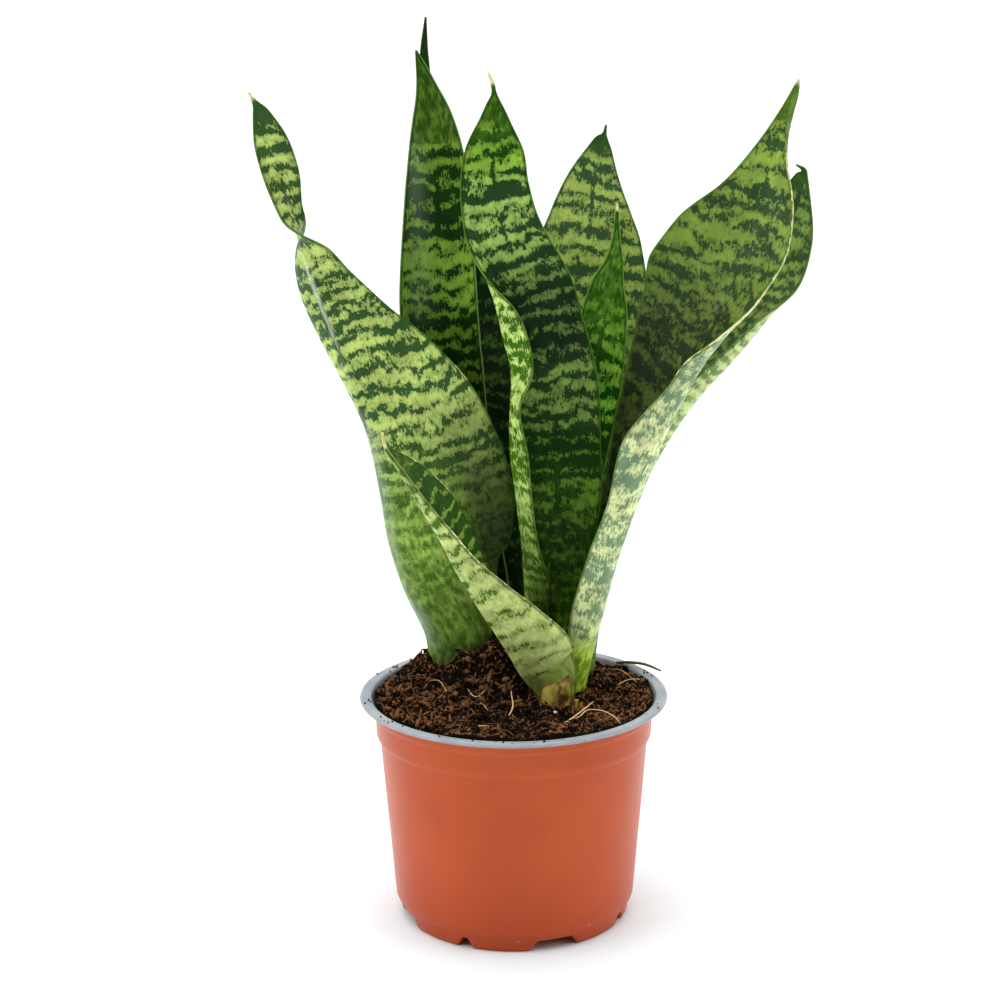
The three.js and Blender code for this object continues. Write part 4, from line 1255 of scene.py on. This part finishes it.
def make_lumps(name, centres, sizes, stretch):
    """One mesh of dented lumps, each `stretch` (x, y, z) times its size, at centres in millimetres."""
    count = len(centres)
    dents = draw.uniform(0.65, 1.25, (count, len(LUMP), 1))
    scale = sizes[:, None, None] * draw.uniform(0.7, 1.3, (count, 1, 3)) * np.array(stretch)
    local = LUMP[None] * dents * scale
    points = np.einsum("nij,nkj->nki", random_turns(count), local) + centres[:, None]
    faces = LUMP_FACES[None] + (np.arange(count) * len(LUMP))[:, None, None]
    # Painted shade darkens crumbs in the cavities between clods, and painted light makes them paler behind
    # the shoots and at the sides; the rest of the tint is each crumb's own random colour
    high = np.clip((clods(centres[:, 0], centres[:, 1]) - 0.3) / 0.4, 0, 1)
    high = high + 0.6 * painted_paleness(centres[:, 0], centres[:, 1])
    tint = np.repeat(draw.uniform(0, 1, count) * (0.15 + 0.85 * high), len(LUMP))
    vertices = points.reshape(-1, 3) * MM + POT_AXIS
    return make_mesh(name, vertices, [], faces.reshape(-1, 3), {"tint": tint})


print("a crumb has", len(LUMP_FACES), "faces")

# %% Scattering crumbs
CRUMB_COUNT = 6400
CHIP_COUNT = 1900
CRUMB_SIZES = (0.22, 0.6)  # the smallest, and how much the largest one exceeds it
CHIP_SIZES = (0.4, 0.75)
CRUMB_SHAPE = (1.3, 0.9, 0.7)
CHIP_SHAPE = (2.3, 0.8, 0.45)
SPREAD_SHARE = 0.985


def scatter(count):
    """Evenly spread points (x, y) over the soil."""
    distance = SOIL_RADIUS * np.sqrt(draw.uniform(0, 1, count)) * SPREAD_SHARE
    heading = draw.uniform(0, 2 * np.pi, count)
    return distance * np.sin(heading), -distance * np.cos(heading)


def on_soil(x, y, lift):
    """The points of the soil at x and y, raised by `lift`."""
    return np.stack([x, y, soil_height(x, y) + lift], axis=-1)


crumb_size = CRUMB_SIZES[0] + CRUMB_SIZES[1] * draw.uniform(0, 1, CRUMB_COUNT) ** 3
crumb_centres = on_soil(*scatter(CRUMB_COUNT), 0.2 * crumb_size)
crumbs = make_lumps("soil_crumbs", crumb_centres, crumb_size, CRUMB_SHAPE)
chip_size = CHIP_SIZES[0] + CHIP_SIZES[1] * draw.uniform(0, 1, CHIP_COUNT) ** 2
chip_centres = on_soil(*scatter(CHIP_COUNT), 0.3 * chip_size)
chips = make_lumps("soil_chips", chip_centres, chip_size, CHIP_SHAPE)
print("crumbs:", CRUMB_COUNT, "and chips:", CHIP_COUNT)

# %% Bark round the shoots
BARK_COUNT = 70
BARK_MIDDLE = (-13.0, -4.0)
BARK_SPREAD = (6.5, 7.0)
BARK_SIZES = (0.9, 1.9)
BARK_SHAPE = (1.7, 0.9, 0.6)
bark_x, bark_y = (draw.normal(BARK_MIDDLE[k], BARK_SPREAD[k], BARK_COUNT) for k in range(2))
bark_size = draw.uniform(*BARK_SIZES, BARK_COUNT)
bark = make_lumps("soil_bark", on_soil(bark_x, bark_y, 0.3 * bark_size), bark_size, BARK_SHAPE)
print("pieces of bark:", BARK_COUNT)

# %% White grains
GRAINS = np.array([(15.8, -19.1), (-22.0, -31.0), (31.0, -20.0)])  # the first lies before the sheath
GRAIN_SHAPE = (1.1, 0.9, 0.8)
grain_size = np.array([0.75, 0.4, 0.45])
grains = make_lumps("soil_grains", on_soil(GRAINS[:, 0], GRAINS[:, 1], 0.5), grain_size, GRAIN_SHAPE)
print("white grains:", len(GRAINS))

# %% Crumbs on the rim
RIM_CRUMBS = 46
RIM_CRUMB_SIZES = (0.18, 0.6)
RIM_CRUMB_SHAPE = (1.2, 0.9, 0.7)
RIM_FLAT = (56.0, 59.2)  # between these radii the rim is flat enough for a crumb to stay
rim_heading = draw.uniform(0, 2 * np.pi, RIM_CRUMBS)
rim_radius = draw.uniform(*RIM_FLAT, RIM_CRUMBS)
rim_size = draw.uniform(*RIM_CRUMB_SIZES, RIM_CRUMBS)
rim_centres = turned(rim_radius, RIM_TOP - 0.1 + 0.4 * rim_size, rim_heading)
rim_crumbs = make_lumps("rim_crumbs", rim_centres, rim_size, RIM_CRUMB_SHAPE)
print("crumbs on the rim:", RIM_CRUMBS)

# %% [markdown]
# ## Fibres
#
# Coir fibres and fine roots lie about in curls. Bevelled curves would do for a few of them. For hundreds,
# many paths are worked out in one array, and at every step of each path a small ring is set square to it.
# A stiff fibre doesn't follow every dip: its height leans towards the mean of the ground below it.


# %% Fibre maker
FIBRE_SIDES = 5


def make_strands(name, paths, thickness, sides=FIBRE_SIDES):
    """Tubes along paths [count, steps, 3] in millimetres, as thick as `thickness` [count] in the middle
    and pointed at the ends. A fan of triangles closes each end."""
    count, steps = paths.shape[:2]
    start = (np.arange(count) * steps * sides)[:, None, None]
    along = unit(np.gradient(paths, axis=1))
    level = unit(np.cross(along, np.array([0.0, 0.0, 1.0])) + 1e-6)
    upward = np.cross(level, along)
    turn = np.linspace(0, 2 * np.pi, sides, endpoint=False)
    taper = 0.3 + 0.7 * np.sin(np.pi * np.linspace(0.04, 0.96, steps)) ** 0.5
    size = thickness[:, None, None, None] * taper[None, :, None, None] / 2
    ring = np.cos(turn)[:, None] * level[:, :, None] + np.sin(turn)[:, None] * upward[:, :, None]
    points = paths[:, :, None] + size * ring
    quads = ring_faces(steps, sides)[None] + start
    fan = np.array([(0, k, k + 1) for k in range(1, sides - 1)])
    low = fan[:, ::-1][None] + start
    high = fan[None] + start + (steps - 1) * sides
    tint = np.repeat(draw.uniform(0, 1, count), steps * sides)
    triangles = np.concatenate([low.reshape(-1, 3), high.reshape(-1, 3)])
    vertices = points.reshape(-1, 3) * MM + POT_AXIS
    return make_mesh(name, vertices, quads.reshape(-1, 4), triangles, {"tint": tint})


print("a fibre is a tube with", FIBRE_SIDES, "sides")

# %% Fibres
FIBRE_COUNT = 230
FIBRE_STEPS = 12
FIBRE_LENGTHS = (3, 12)
FIBRE_BENDS = (-2.2, 2.2)
FIBRE_ARCHES = (0, 1.6)
FIBRE_THICKNESS = (0.12, 0.32)
STIFFNESS = 0.65


def column(values):
    """One value for each fibre, as a column beside its steps."""
    return values[:, None]


from_axis = column(SOIL_RADIUS * np.sqrt(draw.uniform(0, 0.9, FIBRE_COUNT)))
heading = column(draw.uniform(0, 2 * np.pi, FIBRE_COUNT))
length = column(draw.uniform(*FIBRE_LENGTHS, FIBRE_COUNT))
bend = column(draw.uniform(*FIBRE_BENDS, FIBRE_COUNT))
first_direction = column(draw.uniform(0, 2 * np.pi, FIBRE_COUNT))
t = np.linspace(-0.5, 0.5, FIBRE_STEPS)
direction = first_direction + bend * t
step = length / FIBRE_STEPS
fibre_x = from_axis * np.sin(heading) + np.cumsum(np.cos(direction) * step, axis=1)
fibre_y = -from_axis * np.cos(heading) + np.cumsum(np.sin(direction) * step, axis=1)
shrink = np.minimum(1, (SOIL_RADIUS - 0.8) / np.hypot(fibre_x, fibre_y))
fibre_x = fibre_x * shrink
fibre_y = fibre_y * shrink
arch = column(draw.uniform(*FIBRE_ARCHES, FIBRE_COUNT)) * (0.25 - t**2) * 4
ground = soil_height(fibre_x, fibre_y)
fibre_z = ground * (1 - STIFFNESS) + STIFFNESS * ground.mean(1, keepdims=True) + arch + 0.2
fibre_paths = np.stack([fibre_x, fibre_y, fibre_z], axis=-1)
fibres = make_strands("soil_fibres", fibre_paths, draw.uniform(*FIBRE_THICKNESS, FIBRE_COUNT))
print("fibres:", FIBRE_COUNT)

# %% [markdown]
# ## Larger roots and a twig
#
# A few straw-coloured roots arch over the soil in front, and a thin twig lies across the rim. A random
# draw wouldn't put them there, so each is a smooth curve through listed points.

# %% Larger roots
ROOTS = [  # points (x, y, height above the soil) and thickness, in millimetres
    (
        [(18.7, -36.0, 0.2), (21.5, -31.6, 0.8), (24.3, -26.1, 1.2), (27.6, -18.2, 1.5), (30.6, -11.2, 1.8)],
        0.55,
    ),
    (
        [(21.9, -30.2, 0.3), (24.9, -29.2, 1.2), (28.2, -22.5, 1.8), (33.9, -23.7, 1.6), (38.3, -32.7, 0.8),
         (39.6, -37.1, 0.2)],
        0.45,
    ),
    ([(12.8, -36.5, 0.8), (15.5, -39.5, 0.9), (18.2, -42.0, 0.8), (20.8, -48.4, 0.2)], 0.6),
    ([(-17.7, -43.6, 0.2), (-13.7, -38.3, 0.9), (-9.3, -36.2, 0.3)], 0.6),
    ([(-2.2, -26.8, 0.2), (-0.3, -17.8, 1.5), (-1.0, -6.3, 2.4)], 0.5),
    ([(-17.9, -0.3, 0.3), (-15.8, -6.4, 1.0), (-13.8, -7.6, 1.2), (-11.2, -4.0, 1.0)], 0.4),
    ([(-13.0, -11.1, 0.5), (-11.4, -15.0, 0.9), (-9.8, -19.3, 0.3)], 0.35),
    ([(-33.3, 14.7, 0.3), (-29.1, 8.4, 1.4), (-26.1, 1.0, 0.3)], 0.45),
    ([(38.2, 28.0, 0.3), (43.6, 22.8, 1.2), (49.0, 9.7, 0.4)], 0.45),
    ([(40.9, 10.3, 0.4), (46.3, 13.1, 0.9), (52.4, 12.3, 0.4)], 0.45),
]
TWIG = [(42.0, 36.5, 88.6), (47.3, 31.6, 90.2), (53.1, 25.8, 91.2), (59.0, 19.3, 90.6)]
TWIG_THICKNESS = 1.25
ROOT_STEPS = 16
ROOT_SIDES = 8


def smooth_path(points):
    """A smooth path through a few points."""
    return smooth_stations(np.array(points, float), np.linspace(0, len(points) - 1, ROOT_STEPS))


def root_path(points):
    """The same, lifted onto the soil."""
    path = smooth_path(points)
    path[:, 2] += soil_base(path[:, 0], path[:, 1]) + 0.6
    return path


root_paths = np.stack([root_path(points) for points, size in ROOTS])
roots = make_strands("soil_roots", root_paths, np.array([size for points, size in ROOTS]), ROOT_SIDES)
twig = make_strands("soil_twig", smooth_path(TWIG)[None], np.array([TWIG_THICKNESS]), ROOT_SIDES)
print("larger roots:", len(ROOTS), "and a twig")

# %% [markdown]
# ## The soil's browns
#
# Peat is nearly black where it is moist and light brown where it has dried. Bed, crumbs, bark, fibres and
# roots differ only in their two browns, so one group mixes them: by noise of two sizes, and by the tint
# that each lump or fibre carries, which on the lumps also holds a painted shade and a painted light.

# %% Peat group
peat_inputs = {"Dark": ("Color", (0.01, 0.006, 0.004, 1)), "Pale": ("Color", (0.1, 0.05, 0.025, 1))}
peat, given, result = new_group("peat", peat_inputs, SKIN_OUTPUTS)
place = object_place(peat)
clod = cloud(peat, place, 160.0, 4.0, 0.65)
grain = cloud(peat, place, 900.0, 3.0, 0.6)
# The tint holds each piece's own colour, and on the lumps also their painted shade and light
tint_and_painted_shade = times(peat, calc(peat, "SUBTRACT", read_number(peat, "tint"), 0.36), 0.42)
mixture = add_up(peat, times(peat, clod, 0.6), times(peat, grain, 0.4), tint_and_painted_shade)
brown = blend_colours(peat, step_between(peat, mixture, 0.38, 0.66), given["Dark"], given["Pale"])
wire(peat, result["Color"], brown)
wire(peat, result["Roughness"], step_between(peat, grain, 0.3, 0.7, 0.75, 0.95))
wire(peat, result["Height"], mixture)


def soil_material(name, dark, pale, bump):
    """Peat in the given dark and pale browns."""
    material, tree, shader = new_material(name)
    out = place_group(material, peat, Dark=srgb(*dark), Pale=srgb(*pale))
    set_finish(tree, shader, out["Color"], out["Roughness"], 0.05)
    add_bump(tree, shader, out["Height"], 0.6, bump)
    return material


bed_material = soil_material("peat_bed", (10, 6, 3), (70, 45, 27), 0.0012)
crumb_material = soil_material("peat_crumbs", (18, 11, 6), (122, 82, 52), 0.0006)
bark_material = soil_material("peat_bark", (24, 15, 9), (128, 92, 64), 0.0010)
fibre_material = soil_material("coir_fibre", (66, 40, 22), (150, 104, 62), 0.0002)
root_material = soil_material("root_straw", (150, 104, 62), (226, 190, 132), 0.0002)
grain_material = soil_material("white_grain", (200, 196, 186), (236, 232, 222), 0.0002)
for piece, material in (
    (soil_piece, bed_material),
    (crumbs, crumb_material),
    (chips, crumb_material),
    (bark, bark_material),
    (rim_crumbs, crumb_material),
    (fibres, fibre_material),
    (roots, root_material),
    (twig, bark_material),
    (grains, grain_material),
):
    piece.data.materials.append(material)
    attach(piece, "root")
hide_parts("soil")
print("soil pieces are coloured")

# %% [markdown]
# ## The papery sheath
#
# At the foot of the front shoot a dead scale leaf has dried to brown paper. Cloth tools could crumple a
# sheet, but it is a leaf in miniature, so the leaf formulas make it too, with a thin section, creases and
# edges that look torn.

# %% Sheath
SHEATH = [
    (17.5, -12.6, 80, 9, 9, 180, 10, 60, 60),
    (17.3, -12.8, 86, 11, 10.5, 180, 10, 60, 60),
    (17.5, -12.8, 89.5, 10.5, 10, 180, 10, 60, 60),
    (18.8, -12.8, 92.5, 6, 7, 180, 10, 50, 50),
    (20.2, -12.6, 95.5, 2.8, 3.4, 180, 10, 40, 40),
    (21, -12.2, 99.5, 0.4, 0.4, 180, 10, 0, 0),
]
SHEATH_THICKNESS = 0.5
CREASE_HEIGHT = 0.35
CREASES_ACROSS = 5
CREASES_ALONG = 3
CREASED_WIDTH = 4  # creases fade where a side is narrower than this
TORN_WIDTH = 2.5
TORN_TOP = 0.7
blade, normal, width, v, share, length, height = leaf_blade(SHEATH, 31, lateness=1.0)
creases = rough_bumps(v[None] * CREASES_ACROSS + 9, share[:, None] * CREASES_ALONG + 2, 41)
crease = CREASE_HEIGHT * (creases - 0.5) * np.clip(width / CREASED_WIDTH, 0, 1)
blade = blade + crease[..., None] * normal
half = SHEATH_THICKNESS / 2 * np.sqrt(1 - v**8) * np.ones_like(width)
thick = half[..., None] * normal
edge = np.maximum(1 - (1 - np.abs(v)) * width / TORN_WIDTH, (share[:, None] - TORN_TOP) / (1 - TORN_TOP))
sheath_rings = all_round(blade + thick, blade - thick) * MM + POT_AXIS
sheath = make_tube("sheath_paper", sheath_rings, {"edge": all_round(edge, edge)})
print("the sheath has", len(sheath.data.polygons), "faces")

# %% Sheath paper
sheath_material, tree, shader = new_material("dry_sheath")
place = object_place(tree)
mapping = tree.nodes.new("ShaderNodeMapping")
mapping.inputs["Scale"].default_value = (300, 300, 150)
tree.links.new(place, mapping.inputs["Vector"])
streak = cloud(tree, mapping.outputs["Vector"], 1.0, 3.0)
paper = blend_colours(tree, step_between(tree, streak, 0.38, 0.6), srgb(84, 58, 20), srgb(172, 158, 66))
dried = step_between(tree, add_up(tree, read_number(tree, "edge"), streak), 0.95, 1.35, 0.0, 0.85)
paper = blend_colours(tree, dried, paper, srgb(112, 68, 38))
set_finish(tree, shader, paper, 0.6, 0.2)
add_bump(tree, shader, streak, 0.4, 0.0004)
sheath.data.materials.append(sheath_material)
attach(sheath, "root")
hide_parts("base_sheath")
print("the paper has", len(tree.nodes), "nodes")

# %% [markdown]
# ## The hidden stem
#
# The rhizome is a part of the engineering model and keeps its own mesh, because the soil hides all of it.
# Only its finish is set: the mottled orange skin that such stems have.

# %% Rhizome finish
stem_material, tree, shader = new_material("rhizome_skin")
place = object_place(tree)
skin_noise = cloud(tree, place, 180.0, 4.0)
skin = blend_colours(tree, step_between(tree, skin_noise, 0.35, 0.65), srgb(196, 120, 48), srgb(226, 168, 92))
set_finish(tree, shader, skin, 0.55, 0.5)
add_bump(tree, shader, skin_noise, 0.3, 0.0006)
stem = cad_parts["rhizome"]
stem.data.materials.clear()
stem.data.materials.append(stem_material)
print("rhizome kept as", stem.name)

# %% [markdown]
# ## Studio
#
# The photograph is a plain product shot: a white floor that runs into a white background, soft light
# from above and both sides, and a long lens that looks down on the soil at a low angle.

# %% Light levels and places
FRONT_LIGHT = 0.1
SIDE_LIGHT = 0.5
BACK_LIGHT = 0.7
OVERHEAD_LIGHT = 2.8
OVERHEAD_SPREAD = math.radians(70)
BOX_LIGHT = 5.0
BOX_SIZE = 0.8
BOX_TARGET = (0, 0, 0.18)
LEFT_BOX = (-1.1, -0.35, 0.7)
RIGHT_BOX = (1.1, -0.25, 0.7)
SKY_PLACE = (-0.12, -0.02, 1.5)
print("surroundings give", FRONT_LIGHT, "from the front and", BACK_LIGHT, "from behind")

# %% Floor
FLOOR_HALF = 12.0
floor_points = np.array([(-1, -1, 0), (1, -1, 0), (1, 1, 0), (-1, 1, 0)], float) * FLOOR_HALF
floor = make_mesh("studio_floor", floor_points, [(0, 1, 2, 3)])
floor_material, tree, shader = new_material("floor_white")
set_finish(tree, shader, (0.8, 0.868, 0.884, 1), 0.8, 0.1)
floor.data.materials.append(floor_material)
print("the floor is", 2 * FLOOR_HALF, "m wide")

# %% Surroundings
world = bpy.data.worlds.new("studio")
world.use_nodes = True
tree = world.node_tree
direction = tree.nodes.new("ShaderNodeTexCoord").outputs["Generated"]
split = tree.nodes.new("ShaderNodeSeparateXYZ")
tree.links.new(direction, split.inputs[0])
sides = step_between(tree, split.outputs["Y"], -0.95, 0.1, FRONT_LIGHT, SIDE_LIGHT)
behind = step_between(tree, split.outputs["Y"], 0.1, 0.6, 0.0, BACK_LIGHT)
seen = tree.nodes.new("ShaderNodeLightPath").outputs["Is Camera Ray"]
strength = calc(tree, "MAXIMUM", add_up(tree, sides, behind), seen)
tree.links.new(strength, tree.nodes["Background"].inputs["Strength"])
tree.nodes["Background"].inputs["Color"].default_value = (1, 1, 1, 1)
bpy.context.scene.world = world
print("surroundings:", world.name)


# %% Lights
def aim(name, lamp, place, target):
    """Puts a lamp at a place and turns it towards a target, both in metres from the pot's axis."""
    made = bpy.data.objects.new(name, lamp)
    made.location = Vector(place) + Vector(POT_AXIS)
    towards = Vector(target) - Vector(place)
    made.rotation_euler = towards.to_track_quat("-Z", "Y").to_euler()
    bpy.context.scene.collection.objects.link(made)


def soft_box(name, place):
    """A square area light beside the plant."""
    lamp = bpy.data.lights.new(name, "AREA")
    lamp.shape = "SQUARE"
    lamp.size = BOX_SIZE
    lamp.energy = BOX_LIGHT
    aim(name, lamp, place, BOX_TARGET)


sky = bpy.data.lights.new("overhead_light", "SUN")
sky.angle = OVERHEAD_SPREAD
sky.energy = OVERHEAD_LIGHT
aim("overhead_light", sky, SKY_PLACE, (0, 0, 0))
soft_box("left_box", LEFT_BOX)
soft_box("right_box", RIGHT_BOX)
print("lights:", len(bpy.data.lights))

# %% [markdown]
# ## Camera
#
# The pot's rim and foot show as two ellipses, and how flat they are gives the camera's height, distance
# and tilt for a 72 mm lens. It could be aimed at a target instead, but then it wouldn't have the slight
# turn and roll that the photograph has.

# %% Camera
CAMERA_PLACE = Vector((0.0, -0.7437, 0.343)) + Vector(POT_AXIS)
CAMERA_DOWN = math.radians(13.40)
CAMERA_LEFT = math.radians(0.37)
CAMERA_ROLL = math.radians(-0.40)
LENS_LENGTH = 72.0
SENSOR_WIDTH = 36.0
FAR_END = 60.0
lens = bpy.data.cameras.new("photo_camera")
lens.lens = LENS_LENGTH
lens.sensor_width = SENSOR_WIDTH
lens.clip_end = FAR_END
camera = bpy.data.objects.new("photo_camera", lens)
pan = Matrix.Rotation(CAMERA_LEFT, 4, "Z")
tilt = Matrix.Rotation(math.pi / 2 - CAMERA_DOWN, 4, "X")
roll = Matrix.Rotation(CAMERA_ROLL, 4, "Z")
camera.matrix_world = Matrix.Translation(CAMERA_PLACE) @ pan @ tilt @ roll
bpy.context.scene.collection.objects.link(camera)
bpy.context.scene.camera = camera
bpy.context.scene.view_settings.view_transform = "Standard"
print("camera at", np.round(np.array(camera.location), 3))
